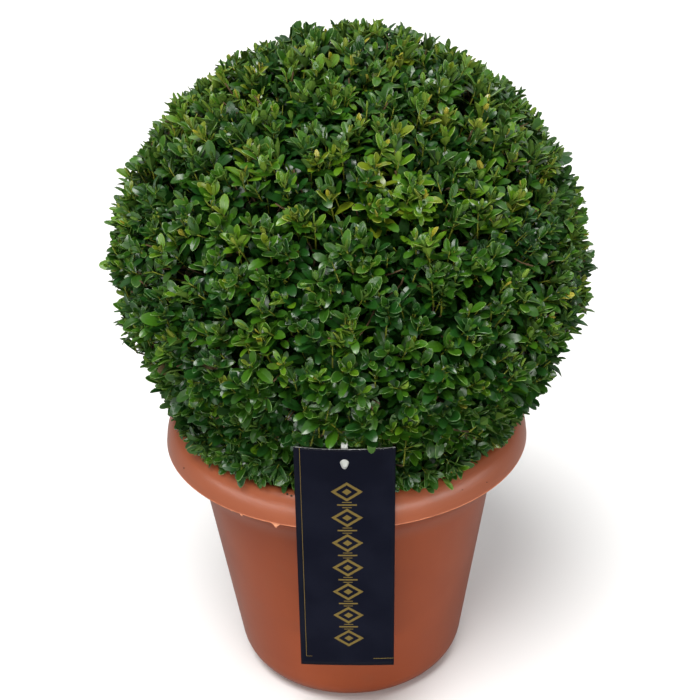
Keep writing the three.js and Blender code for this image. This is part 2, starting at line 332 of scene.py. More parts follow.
class EffectLibrary:
    """Node groups for the shared effects, each built once."""

    def __init__(self) -> None:
        """Builds the two groups."""
        self.groups = {Effect.MOTTLE: self._mottle(), Effect.GRAIN: self._grain()}

    @staticmethod
    def _new(name: str, inputs: dict[str, tuple[str, object]], output: str) -> bpy.types.NodeTree:
        """An empty group with these named inputs and one value output.

        Args:
            name: its name.
            inputs: kind and value of each input.
            output: name of its output.

        Returns:
            The group.
        """
        tree = bpy.data.node_groups.new(name, "ShaderNodeTree")
        for label, (kind, value) in inputs.items():
            tree.interface.new_socket(label, in_out="INPUT", socket_type=kind).default_value = value
        tree.interface.new_socket(output, in_out="OUTPUT", socket_type="NodeSocketFloat")
        tree.nodes.new("NodeGroupInput")
        tree.nodes.new("NodeGroupOutput")
        return tree

    @staticmethod
    def _stretched(tree: bpy.types.NodeTree) -> Socket:
        """Object coordinates times the group's Stretch input.

        Args:
            tree: the group.

        Returns:
            The stretched place.
        """
        place = tree.nodes.new("ShaderNodeTexCoord")
        stretch = tree.nodes.new("ShaderNodeVectorMath")
        stretch.operation = "MULTIPLY"
        tree.links.new(place.outputs["Object"], stretch.inputs[0])
        tree.links.new(tree.nodes["Group Input"].outputs["Stretch"], stretch.inputs[1])
        return stretch.outputs[0]

    def _mottle(self) -> bpy.types.NodeTree:
        """Soft uneven patches: noise in object space between two limits.

        Returns:
            The group.
        """
        inputs = {
            "Stretch": ("NodeSocketVector", (1.0, 1.0, 1.0)),
            "Scale": ("NodeSocketFloat", 20.0),
            "Detail": ("NodeSocketFloat", 4.0),
            "Low": ("NodeSocketFloat", 0.35),
            "High": ("NodeSocketFloat", 0.65),
        }
        tree = self._new("mottle", inputs, "Mask")
        enter, leave = tree.nodes["Group Input"], tree.nodes["Group Output"]
        cloud = tree.nodes.new("ShaderNodeTexNoise")
        limits = tree.nodes.new("ShaderNodeMapRange")
        limits.interpolation_type = "SMOOTHSTEP"
        link = tree.links.new
        link(self._stretched(tree), cloud.inputs["Vector"])
        link(enter.outputs["Scale"], cloud.inputs["Scale"])
        link(enter.outputs["Detail"], cloud.inputs["Detail"])
        link(cloud.outputs["Fac"], limits.inputs["Value"])
        link(enter.outputs["Low"], limits.inputs["From Min"])
        link(enter.outputs["High"], limits.inputs["From Max"])
        link(limits.outputs["Result"], leave.inputs["Mask"])
        return tree

    def _grain(self) -> bpy.types.NodeTree:
        """A fine surface grain: small noise laid over a coarser one.

        Returns:
            The group.
        """
        inputs = {
            "Stretch": ("NodeSocketVector", (1.0, 1.0, 1.0)),
            "Fine Scale": ("NodeSocketFloat", 900.0),
            "Coarse Scale": ("NodeSocketFloat", 120.0),
            "Coarse Share": ("NodeSocketFloat", 0.5),
        }
        tree = self._new("grain", inputs, "Height")
        enter, leave = tree.nodes["Group Input"], tree.nodes["Group Output"]
        place = self._stretched(tree)
        link = tree.links.new
        clouds = []
        for label in ("Fine Scale", "Coarse Scale"):
            cloud = tree.nodes.new("ShaderNodeTexNoise")
            cloud.inputs["Detail"].default_value = 3.0
            link(place, cloud.inputs["Vector"])
            link(enter.outputs[label], cloud.inputs["Scale"])
            clouds.append(cloud)
        blend = tree.nodes.new("ShaderNodeMix")
        link(enter.outputs["Coarse Share"], blend.inputs["Factor"])
        link(clouds[0].outputs["Fac"], blend.inputs["A"])
        link(clouds[1].outputs["Fac"], blend.inputs["B"])
        link(blend.outputs["Result"], leave.inputs["Height"])
        return tree


@cache
def effect_library() -> EffectLibrary:
    """The shared effects, built at the first call."""
    return EffectLibrary()


@dataclass
class MaterialBench:
    """One material under construction, with short ways to place nodes in it."""

    name: str
    material: Material = field(init=False)
    shader: bpy.types.Node = field(init=False)

    def __post_init__(self) -> None:
        """Starts a node material and keeps its Principled shader."""
        self.material = bpy.data.materials.new(self.name)
        self.material.use_nodes = True
        self.shader = self.material.node_tree.nodes["Principled BSDF"]

    def node(self, kind: str) -> bpy.types.Node:
        """Places a node of this kind."""
        return self.material.node_tree.nodes.new(kind)

    def set(self, **values: object) -> None:
        """Sets constants on the shader, named in lower case with underscores."""
        for label, value in values.items():
            self.shader.inputs[label.replace("_", " ").title().replace("Ior", "IOR")].default_value = value

    def effect(self, effect: Effect, **values: object) -> Socket:
        """Places a shared effect with its own values and returns its output.

        Args:
            effect: which one.
            values: its inputs, named in lower case with underscores.

        Returns:
            Its output.
        """
        node = self.node("ShaderNodeGroup")
        node.node_tree = effect_library().groups[effect]
        for label, value in values.items():
            node.inputs[label.replace("_", " ").title()].default_value = value
        return node.outputs[0]

    def mix(self, mask: Socket, low: object, high: object) -> Socket:
        """Mixes two colours, given as colours or sockets, by a mask.

        Args:
            mask: share of the second.
            low: first colour.
            high: second colour.

        Returns:
            The mixed colour.
        """
        node = self.node("ShaderNodeMix")
        node.data_type = "RGBA"
        self.link(mask, node.inputs["Factor"])
        for label, value in (("A", low), ("B", high)):
            target = next(s for s in node.inputs if s.name == label and s.type == "RGBA")
            if isinstance(value, Socket):
                self.link(value, target)
            else:
                target.default_value = value
        return next(s for s in node.outputs if s.type == "RGBA")

    def span(self, mask: Socket, low: float, high: float) -> Socket:
        """A value that runs from low to high with a mask.

        Args:
            mask: where it is.
            low: value at nought.
            high: value at one.

        Returns:
            The value.
        """
        node = self.node("ShaderNodeMapRange")
        node.inputs["To Min"].default_value = low
        node.inputs["To Max"].default_value = high
        self.link(mask, node.inputs["Value"])
        return node.outputs["Result"]

    def maths(self, operation: str, first: Socket, second: object) -> Socket:
        """One maths node on a socket and a socket or number.

        Args:
            operation: the node's operation.
            first: first input.
            second: second input.

        Returns:
            The result.
        """
        node = self.node("ShaderNodeMath")
        node.operation = operation
        self.link(first, node.inputs[0])
        if isinstance(second, Socket):
            self.link(second, node.inputs[1])
        else:
            node.inputs[1].default_value = second
        return node.outputs[0]

    def height_band(self, middle: float, half: float) -> Socket:
        """A mask that is one within half of a height above the floor.

        Args:
            middle: height of its middle.
            half: half its height.

        Returns:
            The mask.
        """
        place = self.node("ShaderNodeTexCoord")
        split = self.node("ShaderNodeSeparateXYZ")
        self.link(place.outputs["Object"], split.inputs[0])
        off = self.maths("ABSOLUTE", self.maths("SUBTRACT", split.outputs["Z"], middle), 0.0)
        return self.maths("LESS_THAN", off, half)

    def inside_mask(self, radius: float, soft: float) -> Socket:
        """A mask that rises from nought at a radius about the Z axis to one a soft width inside it.

        Args:
            radius: where it starts.
            soft: how far it takes.

        Returns:
            The mask.
        """
        place = self.node("ShaderNodeTexCoord")
        flat = self.node("ShaderNodeVectorMath")
        flat.operation = "MULTIPLY"
        flat.inputs[1].default_value = (1.0, 1.0, 0.0)
        length = self.node("ShaderNodeVectorMath")
        length.operation = "LENGTH"
        limits = self.node("ShaderNodeMapRange")
        limits.interpolation_type = "SMOOTHSTEP"
        limits.inputs["From Min"].default_value = radius
        limits.inputs["From Max"].default_value = radius - soft
        self.link(place.outputs["Object"], flat.inputs[0])
        self.link(flat.outputs[0], length.inputs[0])
        self.link(length.outputs["Value"], limits.inputs["Value"])
        return limits.outputs["Result"]

    def bump(self, height: Socket, strength: float, distance: float) -> None:
        """Feeds a height through a bump node to the shader's normal.

        Args:
            height: the relief.
            strength: its strength.
            distance: its depth.
        """
        node = self.node("ShaderNodeBump")
        node.inputs["Strength"].default_value = strength
        node.inputs["Distance"].default_value = distance
        self.link(height, node.inputs["Height"])
        self.link(node.outputs["Normal"], self.shader.inputs["Normal"])

    def link(self, source: Socket, target: Socket) -> None:
        """Joins two sockets."""
        self.material.node_tree.links.new(source, target)


@dataclass(frozen=True)
class PotFinish:
    """Satin terracotta-coloured plastic with faint moulding streaks and a paler parting edge; the rim is
    painted paler for the light that falls on it, and its inward slope a deeper orange as painted shade.
    """

    body: Colour = srgb(148, 68, 31)
    shade: Colour = srgb(139, 62, 28)
    # painted light: the rim is coloured paler than the body for the light that falls on its upper faces
    rim: Colour = srgb(153, 81, 50)
    # painted shade: a deeper orange for the rim's inward slope, which turns away from the light
    slope: Colour = srgb(172, 74, 28)
    edge: Colour = srgb(206, 130, 94)
    dust: Colour = srgb(128, 78, 56)
    edge_half_height: float = 0.7 * MM
    rim_height: float = 30 * MM
    slope_blend: float = 9 * MM
    streak_share: float = 0.2
    dust_share: float = 0.22
    edge_share: Pair = (0.4, 1.0)
    roughness: Pair = (0.28, 0.34)

    def material(self, lip: Pair, mouth: float) -> Material:
        """Builds the pot's material.

        Args:
            lip: radius and height of the rim's parting edge.
            mouth: radius at which the rim turns down into the mouth.

        Returns:
            The material.
        """
        bench = MaterialBench("pot_plastic")
        patches = bench.effect(Effect.MOTTLE, scale=9.0, detail=5.0)
        streaks = bench.effect(Effect.MOTTLE, stretch=(1.0, 1.0, 0.05), scale=170.0, detail=2.0)
        tone = bench.mix(patches, self.body, self.shade)
        streaked = bench.mix(bench.span(streaks, 0.0, self.streak_share), tone, self.shade)
        dusty = bench.effect(Effect.MOTTLE, scale=34.0, detail=6.0, low=0.55, high=0.8)
        dusted = bench.mix(bench.span(dusty, 0.0, self.dust_share), streaked, self.dust)
        # painted light: the band from the parting edge up over the rim takes the paler rim colour
        rolled = bench.height_band(lip[1] + self.rim_height / 2, self.rim_height / 2)
        rim_painted_light = bench.mix(rolled, dusted, self.rim)
        # painted shade: the rim's inward slope takes the deeper orange slope colour
        inner = bench.maths("MULTIPLY", bench.inside_mask(mouth, self.slope_blend), rolled)
        inward = bench.mix(inner, rim_painted_light, self.slope)
        line = bench.height_band(lip[1], self.edge_half_height)
        worn = bench.effect(Effect.MOTTLE, scale=60.0, detail=3.0, low=0.3, high=0.6)
        rubbed_line = bench.maths("MULTIPLY", line, bench.span(worn, *self.edge_share))
        bench.link(bench.mix(rubbed_line, inward, self.edge), bench.shader.inputs["Base Color"])
        bench.link(bench.span(patches, *self.roughness), bench.shader.inputs["Roughness"])
        grain = bench.effect(Effect.GRAIN, fine_scale=1500.0, coarse_scale=160.0, coarse_share=0.45)
        bench.bump(grain, strength=0.18, distance=0.4 * MM)
        bench.set(specular_ior_level=0.5)
        return bench.material


@dataclass(frozen=True)
class MottledFinish:
    """A finish of two colours in soft patches, with a fine grain as its relief."""

    name: str
    first: Colour
    second: Colour
    roughness: Pair
    patches: dict[str, object]
    grain: dict[str, object]
    strength: float
    depth: float
    specular: float = 0.5

    def material(self) -> Material:
        """Builds the material.

        Returns:
            The material.
        """
        bench = MaterialBench(self.name)
        patches = bench.effect(Effect.MOTTLE, **self.patches)
        bench.link(bench.mix(patches, self.first, self.second), bench.shader.inputs["Base Color"])
        bench.link(bench.span(patches, *self.roughness), bench.shader.inputs["Roughness"])
        bench.bump(bench.effect(Effect.GRAIN, **self.grain), self.strength, self.depth)
        bench.set(specular_ior_level=self.specular)
        return bench.material


# moist dark potting mix of peat and bark bits
POTTING_MIX = MottledFinish(
    "potting_mix",
    srgb(38, 28, 21),
    srgb(84, 62, 44),
    roughness=(0.72, 0.95),
    patches={"scale": 160.0, "detail": 6.0},
    grain={"fine_scale": 1200.0, "coarse_scale": 300.0},
    strength=0.6,
    depth=1.0 * MM,
)
# grey-brown bark with paler ridges
BARK = MottledFinish(
    "bark",
    srgb(72, 58, 44),
    srgb(142, 124, 98),
    roughness=(0.72, 0.9),
    patches={"stretch": (1.0, 1.0, 0.3), "scale": 260.0, "detail": 6.0},
    grain={"stretch": (1.0, 1.0, 0.35), "fine_scale": 900.0, "coarse_scale": 260.0},
    strength=0.5,
    depth=0.6 * MM,
)
# near-black blue print on plastic card, with faint scuffs
TAG_PRINT = MottledFinish(
    "tag_print",
    srgb(9, 12, 26),
    srgb(14, 17, 31),
    roughness=(0.34, 0.46),
    patches={"scale": 26.0, "detail": 5.0},
    grain={"fine_scale": 2200.0, "coarse_scale": 90.0},
    strength=0.06,
    depth=0.3 * MM,
    specular=0.1,
)


@dataclass(frozen=True)
class PlainFinish:
    """A finish whose numbers are the same all over."""

    name: str
    colour: Colour
    roughness: float
    coat: float = 0.0
    metallic: float = 0.0
    specular: float = 0.5
    coat_roughness: float = 0.22

    def material(self) -> Material:
        """Builds the material from constants on the shader.

        Returns:
            The material.
        """
        bench = MaterialBench(self.name)
        bench.set(
            base_color=self.colour,
            roughness=self.roughness,
            metallic=self.metallic,
            coat_weight=self.coat,
            coat_roughness=self.coat_roughness,
            specular_ior_level=self.specular,
        )
        bench.material.diffuse_color = self.colour
        return bench.material


@dataclass(frozen=True)
class LeafTint:
    """Plain colours of one age of leaf: the glossy top, the pale margin and the dull underside; the margin's
    paleness is partly the leaf's own paler edge and partly a painted highlight.
    """

    name: str
    top: Colour
    margin: Colour
    underside: Colour
    roughness: float = 0.29
    specular: float = 0.56

    def materials(self) -> list[Material]:
        """The three materials in the order of LeafPart.

        Returns:
            Materials of the top, margin and underside.
        """
        parts = (
            PlainFinish(f"leaf_{self.name}_top", self.top, self.roughness, specular=self.specular),
            # the margin colour is partly the leaf's own paler edge and partly a painted highlight along it
            PlainFinish(f"leaf_{self.name}_margin", self.margin, 0.4, specular=self.specular),
            PlainFinish(f"leaf_{self.name}_under", self.underside, 0.5, specular=0.15),
        )
        return [part.material() for part in parts]


class LeafPart(Enum):
    """Parts of a leaf that differ in colour."""

    TOP = 0
    MARGIN = 1
    UNDERSIDE = 2


class LeafAge(Enum):
    """Leaf colours, from deep in the crown to the newest tips, and the dead ones; the deep-crown tint is
    darkened as painted shade.
    """

    # painted shade: the tint for leaves deep in the crown is darkened for the shade inside the ball
    INNER = LeafTint("inner", srgb(20, 50, 8), srgb(32, 60, 18), srgb(28, 54, 14), 0.5, 0.08)
    COOL = LeafTint("cool", srgb(28, 70, 21), srgb(64, 102, 46), srgb(58, 92, 42))
    MATURE = LeafTint("mature", srgb(40, 80, 15), srgb(82, 116, 46), srgb(74, 104, 42))
    MIDDLE = LeafTint("middle", srgb(57, 101, 18), srgb(100, 136, 52), srgb(92, 122, 48))
    FRESH = LeafTint("fresh", srgb(84, 124, 21), srgb(124, 152, 58), srgb(112, 140, 50))
    YOUNG = LeafTint("young", srgb(106, 124, 26), srgb(138, 152, 62), srgb(126, 140, 54))
    YELLOW = LeafTint("yellow", srgb(150, 146, 34), srgb(172, 168, 78), srgb(158, 152, 58))
    ORANGE = LeafTint("orange", srgb(196, 138, 26), srgb(204, 158, 60), srgb(176, 126, 40))
    DRY = LeafTint("dry", srgb(76, 62, 32), srgb(96, 80, 48), srgb(86, 72, 42), 0.6)


AGES = list(LeafAge)


# ---------- leaves ----------


class BladeDetail(Enum):
    """How finely a leaf is made: close to the outline, one layer in, and deep inside."""

    FULL = "full"
    PLAIN = "plain"
    CORE = "core"


@dataclass
class BladePattern:
    """A flat leaf outline with its triangles, to be copied and bent for every leaf.

    The blade runs along +Y from its stalk to its tip and is one unit long. Each point has its place across
    and along, and how far it drops below the blade for the leaf's thickness.
    """

    detail: BladeDetail
    rows: tuple[float, ...] = (0.17, 0.42, 0.70, 0.91)
    half_widths: tuple[float, ...] = (0.112, 0.203, 0.214, 0.128)
    stalk: float = 0.022
    rim_inset: float = 0.9
    tip_inset: float = 0.972
    rim_drop: float = 0.024
    thickness: float = 0.028
    points: Array = field(init=False)
    triangles: Array = field(init=False)
    parts: Array = field(init=False)

    def __post_init__(self) -> None:
        """Builds the pattern for its level of detail."""
        self._points: list[Place] = []
        self._faces: list[tuple[int, int, int]] = []
        self._parts: list[int] = []
        makers = {BladeDetail.FULL: self._full, BladeDetail.PLAIN: self._plain, BladeDetail.CORE: self._core}
        makers[self.detail]()
        self.points = np.array(self._points)
        self.triangles = np.array(self._faces)
        self.parts = np.array(self._parts)

    def _strip(self, inner: list[tuple], outer: list[tuple], part: LeafPart, flip: bool) -> None:
        """Triangles between two lines of points that start and may end together.

        Args:
            inner: points on the line nearer the midrib.
            outer: points on the line nearer the margin, as many.
            part: which part of the leaf the strip is.
            flip: whether the faces turn the other way.
        """
        base = len(self._points)
        count = len(inner)
        self._points.extend(inner)
        self._points.extend(outer)
        for i in range(count - 1):
            a, b, c, d = base + i, base + count + i, base + count + i + 1, base + i + 1
            for first, second, third in ((a, b, c), (a, c, d)):
                places = {self._points[first], self._points[second], self._points[third]}
                if len(places) == 3:
                    self._faces.append((first, third, second) if flip else (first, second, third))
                    self._parts.append(part.value)

    def _line(self, share: float, drop: float, rows: list[int], side: int) -> list[tuple]:
        """Points along the blade at a share of its half width, closed to the stalk and tip.

        Args:
            share: share of the half width.
            drop: height.
            rows: rows it passes.
            side: -1 or 1.

        Returns:
            Points from stalk to tip.
        """
        line = [(side * self.stalk * share, 0.0, drop)]
        line += [(side * self.half_widths[r] * share, self.rows[r], drop) for r in rows]
        return line + [(0.0, 1.0, drop)]

    def _full(self) -> None:
        """Creased top inside a rolled margin, paler partly by its own colour and partly by painted highlight,
        over an underside.
        """
        every = [0, 1, 2, 3]
        for side in (-1, 1):
            middle = self._line(0.0, 0.0, every, side)
            inset = self._line(self.rim_inset, 0.0, every, side)
            edge = self._line(1.0, -self.rim_drop, every, side)
            inset[-1] = (0.0, self.tip_inset, 0.0)
            middle[-1] = inset[-1]
            self._strip(middle, inset, LeafPart.TOP, side < 0)
            self._strip(inset[1:], edge[1:], LeafPart.MARGIN, side < 0)
            self._underside([1, 3], side)

    def _plain(self) -> None:
        """Creased top and underside with no margin."""
        for side in (-1, 1):
            middle = self._line(0.0, 0.0, [1, 2, 3], side)
            edge = self._line(1.0, -self.rim_drop, [1, 2, 3], side)
            middle[-1] = edge[-1]
            self._strip(middle, edge, LeafPart.TOP, side < 0)
            self._underside([2], side)

    def _underside(self, rows: list[int], side: int) -> None:
        """The underside of one half, a little below the top.

        Args:
            rows: rows it passes.
            side: -1 or 1.
        """
        edge = self._line(1.0, -self.rim_drop, rows, side)
        middle = self._line(0.0, -self.thickness - self.rim_drop, rows, side)
        middle[-1] = edge[-1]
        self._strip(middle, edge, LeafPart.UNDERSIDE, side > 0)

    def _core(self) -> None:
        """One bent sheet of four faces."""
        rows = [1, 3]
        left = self._line(1.0, 0.0, rows, -1)
        right = self._line(1.0, 0.0, rows, 1)
        self._strip(left, right, LeafPart.TOP, False)


@dataclass
class LeafBatch:
    """Places and shapes of many leaves, one row for each."""

    base: Array
    along: Array
    normal: Array
    length: Array
    width: Array
    fold: Array
    arch: Array
    age: Array

    @classmethod
    def joined(cls, batches: list["LeafBatch"]) -> "LeafBatch":
        """Several batches as one."""
        return cls(*(np.concatenate([getattr(b, part.name) for b in batches]) for part in fields(cls)))

    def picked(self, mask: Array) -> "LeafBatch":
        """The leaves where the mask is true."""
        return LeafBatch(*(getattr(self, part.name)[mask] for part in fields(self)))

    def shaped(self, pattern: BladePattern) -> Array:
        """Bends the pattern into every leaf.

        Args:
            pattern: the flat blade.

        Returns:
            Points, (leaves, points of the pattern, 3).
        """
        x = pattern.points[None, :, 0] * self.width[:, None]
        y = np.broadcast_to(pattern.points[None, :, 1], x.shape)
        drop = np.broadcast_to(pattern.points[None, :, 2], x.shape)
        bend = self.arch[:, None] * y
        cup_fullness, straight = 0.4, 1e-4
        rise = self.fold[:, None] * np.abs(x) * np.sin(np.pi * np.clip(y, 0.0, 1.0)) ** cup_fullness
        forward = np.where(np.abs(bend) < straight, y, np.sin(bend) * y / np.where(bend == 0, 1.0, bend))
        sag = -y * bend / 2
        side = np.cross(self.along, self.normal)
        lift = rise + drop + sag
        local = x[..., None] * side[:, None] + forward[..., None] * self.along[:, None]
        local = local + lift[..., None] * self.normal[:, None]
        return self.base[:, None] + local * self.length[:, None, None]

    def probes(self) -> Array:
        """Four test points of each leaf: stalk, widest place on both sides, and tip.

        Returns:
            Points, (leaves, 4, 3).
        """
        side = np.cross(self.along, self.normal)
        size = self.length[:, None]
        widest, half_width = 0.6, 0.25
        middle = self.base + self.along * size * widest
        tip = self.base + self.along * size - self.normal * (self.arch[:, None] * size / 2)
        reach = side * size * self.width[:, None] * half_width
        return np.stack([self.base, middle - reach, middle + reach, tip], axis=1)


# ---------- pot ----------


@dataclass
class Pot:
    """Round plastic pot: a straight wall, a cove that carries it out, and a hollow rolled rim."""

    base_radius: float = 100.4 * MM
    base_corner: float = 28.9 * MM
    wall_top_radius: float = 135.2 * MM
    lip_height: float = 231.9 * MM
    lip_radius: float = 159.1 * MM
    cove_height: float = 40 * MM
    cove_radius: float = 157.9 * MM
    cove_power: float = 2.1
    crest_radius: float = 145 * MM
    crest_height: float = 258 * MM
    roll_radius: float = 8 * MM
    roll_height: float = 9 * MM
    inner_skin_bottom: float = 236 * MM
    wall: float = 3 * MM
    cove_thickness: float = 3.6 * MM
    foot_recess: float = 1.5 * MM
    foot_ring: float = 6 * MM
    foot_slope: float = 1.5 * MM
    parting_bead: float = 0.35 * MM
    oval: float = 0.3 * MM
    ripple: float = 0.1 * MM
    segments: int = 208
    finish: PotFinish = PotFinish()

    def wall_radius(self, height: Array) -> Array:
        """Outer radius of the straight wall at a height."""
        slope = (self.wall_top_radius - self.base_radius) / self.lip_height
        return self.base_radius + slope * height

    def cove(self, inset: float) -> Array:
        """Points up the cove, moved in by an inset.

        Args:
            inset: how far in.

        Returns:
            (radius, height) pairs.
        """
        height = np.linspace(self.lip_height - self.cove_height, self.lip_height, 15)
        rise = (height - height[0]) / self.cove_height
        out = (self.cove_radius - self.wall_top_radius) * rise**self.cove_power
        return np.stack([self.wall_radius(height) + out - inset, height], axis=1)

    def corner(self, floor: float, inset: float, radius: float) -> Array:
        """Rounded corner from a flat floor into the wall moved in by an inset.

        Args:
            floor: the floor's height.
            inset: how far in.
            radius: the corner's radius.

        Returns:
            (radius, height) pairs.
        """
        lean = math.atan((self.wall_top_radius - self.base_radius) / self.lip_height)
        height = floor + radius
        centre = float(self.wall_radius(np.array(height))) - inset - radius / math.cos(lean)
        return arc((centre, height), (radius, radius), -math.pi / 2, -lean, 12)

    def _straight(self, inset: float) -> Array:
        """Points up the straight wall between the corner and the cove."""
        height = np.linspace(self.base_corner + 10 * MM, self.lip_height - self.cove_height, 10)[:-1]
        return np.stack([self.wall_radius(height) - inset, height], axis=1)

    def _lip(self) -> Array:
        """The step from the cove to the rim, with the small bead that the mould's parting line leaves.

        Returns:
            (radius, height) pairs.
        """
        out, low = self.lip_radius, self.lip_height
        under = [out - 0.2 * MM, low + 0.15 * MM]
        bead = [out + self.parting_bead, low + 0.5 * MM]
        return np.array([under, bead, [out, low + 1.1 * MM]])

    def _skin(self, inset: float, start: float, dome_steps: int, roll_steps: int) -> Array:
        """The rim's skin from the lip over the crest and down into the mouth.

        Args:
            inset: how far in.
            start: where on the dome it starts, in radians.
            dome_steps: steps up the dome.
            roll_steps: steps down into the mouth.

        Returns:
            (radius, height) pairs.
        """
        quarter = math.pi / 2
        wide = self.lip_radius - self.crest_radius - inset
        tall = self.crest_height - self.lip_height - inset
        dome = arc((self.crest_radius, self.lip_height), (wide, tall), start, quarter, dome_steps)
        centre = (self.crest_radius, self.crest_height - self.roll_height)
        roll_radii = (self.roll_radius - inset, self.roll_height - inset)
        return np.concatenate([dome, arc(centre, roll_radii, quarter, 2 * quarter, roll_steps)[1:]])

    def _rim(self) -> Array:
        """The rim's outside, and its inside from the mouth back to the cove.

        Returns:
            (radius, height) pairs.
        """
        mouth, low = self.mouth_radius(), self.inner_skin_bottom
        step = np.array([[mouth, low], [mouth + self.wall, low]])
        outside, inside = self._skin(0.0, 0.08, 18, 10), self._skin(self.wall, 0.15, 8, 6)[::-1]
        return np.concatenate([self._lip(), outside, step, inside])

    def profile(self) -> Array:
        """The whole pot: recessed underside, outside wall, cove, rim, inside wall and floor.

        Returns:
            (radius, height) pairs.
        """
        corner = self.corner(0.0, 0.0, self.base_corner)
        recess = float(corner[0, 0]) - self.foot_ring
        raised = self.foot_recess
        underside = [[AXIS_GAP, raised], [recess - self.foot_slope, raised], [recess, 0.0]]
        inner_corner = self.corner(self.wall, self.wall, self.base_corner - self.wall)
        outside = [np.array(underside), corner, self._straight(0.0), self.cove(0.0), self._rim()]
        inside = [self.cove(self.cove_thickness)[-2::-1], self._straight(self.wall)[::-1], inner_corner[::-1]]
        return np.concatenate([*outside, *inside, np.array([[AXIS_GAP, self.wall]])])

    def rim_top(self, radius: Array) -> Array:
        """Height of the rim's upper surface at a radius, or far below the pot away from the rim.

        Args:
            radius: distance from the axis.

        Returns:
            Heights.
        """
        roll = 1 - ((self.crest_radius - radius) / self.roll_radius) ** 2
        dome = 1 - ((radius - self.crest_radius) / (self.lip_radius - self.crest_radius)) ** 2
        inner = self.crest_height - self.roll_height + self.roll_height * np.sqrt(np.clip(roll, 0, 1))
        outer = self.lip_height + (self.crest_height - self.lip_height) * np.sqrt(np.clip(dome, 0, 1))
        height = np.where(radius < self.crest_radius, inner, outer)
        over = (radius > self.crest_radius - self.roll_radius) & (radius < self.lip_radius)
        return np.where(over, height, -1.0)

    def mouth_radius(self) -> float:
        """Radius of the pot's mouth."""
        return self.crest_radius - self.roll_radius

    def build(self) -> None:
        """Builds the pot with the slight unevenness of a moulding."""
        points, triangles = turned_surface(self.profile(), self.segments)
        angle = np.arctan2(points[..., 1], points[..., 0])
        height = points[..., 2]
        share = np.clip(height / self.crest_height, 0, 1)
        sway = self.oval * np.sin(2 * angle + 0.7) + self.ripple * np.sin(5 * angle + 2.1 + 9 * height)
        radial = np.stack([np.cos(angle), np.sin(angle), np.zeros_like(angle)], axis=-1)
        points = points + radial * (sway * share**2)[..., None]
        draft = MeshDraft()
        draft.add(points, triangles)
        lip = (self.lip_radius, self.lip_height + 0.4 * MM)
        material = self.finish.material(lip, self.crest_radius + 2 * MM)
        finish_piece(draft.build("pot_shell", [material]), "pot_plastic", ("pot", "pot_rim"))


@dataclass
class MouldingFlash:
    """Torn slivers of pale plastic that the mould left hanging from the rim's parting edge."""

    edge_radius: float
    edge_height: float
    thickness: float = 0.5 * MM
    columns: int = 13
    shallowest: float = 0.12
    # bearing from +X in degrees, width and drop in millimetres
    slivers: tuple[Place, ...] = (
        (236.9, 3.6, 2.1),
        (248.4, 7.6, 4.2),
        (233.2, 2.6, 1.0),
        (71.0, 6.0, 3.2),
        (152.0, 4.2, 1.8),
    )

    def _sliver(self, bearing: float, width: float, drop: float, rng: Random) -> Solid:
        """One sliver: a closed strip, deepest near its middle, with a torn lower edge.

        Args:
            bearing: where it hangs, in degrees.
            width: its width in millimetres.
            drop: its drop in millimetres.
            rng: tears its edge.

        Returns:
            Points and triangles.
        """
        share = np.linspace(-1, 1, self.columns)
        peak = rng.uniform(-0.15, 0.25)
        slope = np.where(share < peak, (share + 1) / (peak + 1), (1 - share) / (1 - peak))
        torn = slope**1.15 * rng.uniform(0.86, 1.0, self.columns)
        depth = (self.shallowest + (drop - self.shallowest) * torn) * MM
        angle = math.radians(bearing) + share * width / 2 * MM / self.edge_radius
        out = np.stack([np.cos(angle), np.sin(angle)], axis=1)
        back = -self.thickness
        section = ((0.0, 0.0), (0.25 * MM, 0.5), (0.1 * MM, 1.0), (back, 0.9), (back, 0.0))
        rings = []
        for radius, lower in section:
            flat = out * (self.edge_radius + radius)
            rings.append(np.column_stack([flat, self.edge_height + 0.3 * MM - depth * lower]))
        points = np.stack(rings, axis=1)
        return points.reshape(-1, 3), capped_triangles(self.columns, len(rings))[:, ::-1]

    def build(self, rng: Random) -> None:
        """Builds all the slivers as one piece.

        Args:
            rng: tears their edges.
        """
        draft = MeshDraft()
        for sliver in self.slivers:
            draft.add(*self._sliver(*sliver, rng))
        pale = PlainFinish("pot_flash", srgb(216, 148, 112), 0.6, specular=0.2)
        piece = draft.build("pot_flash", [pale.material()], smooth=False)
        finish_piece(piece, "pot_plastic", ())


# ---------- potting mix ----------


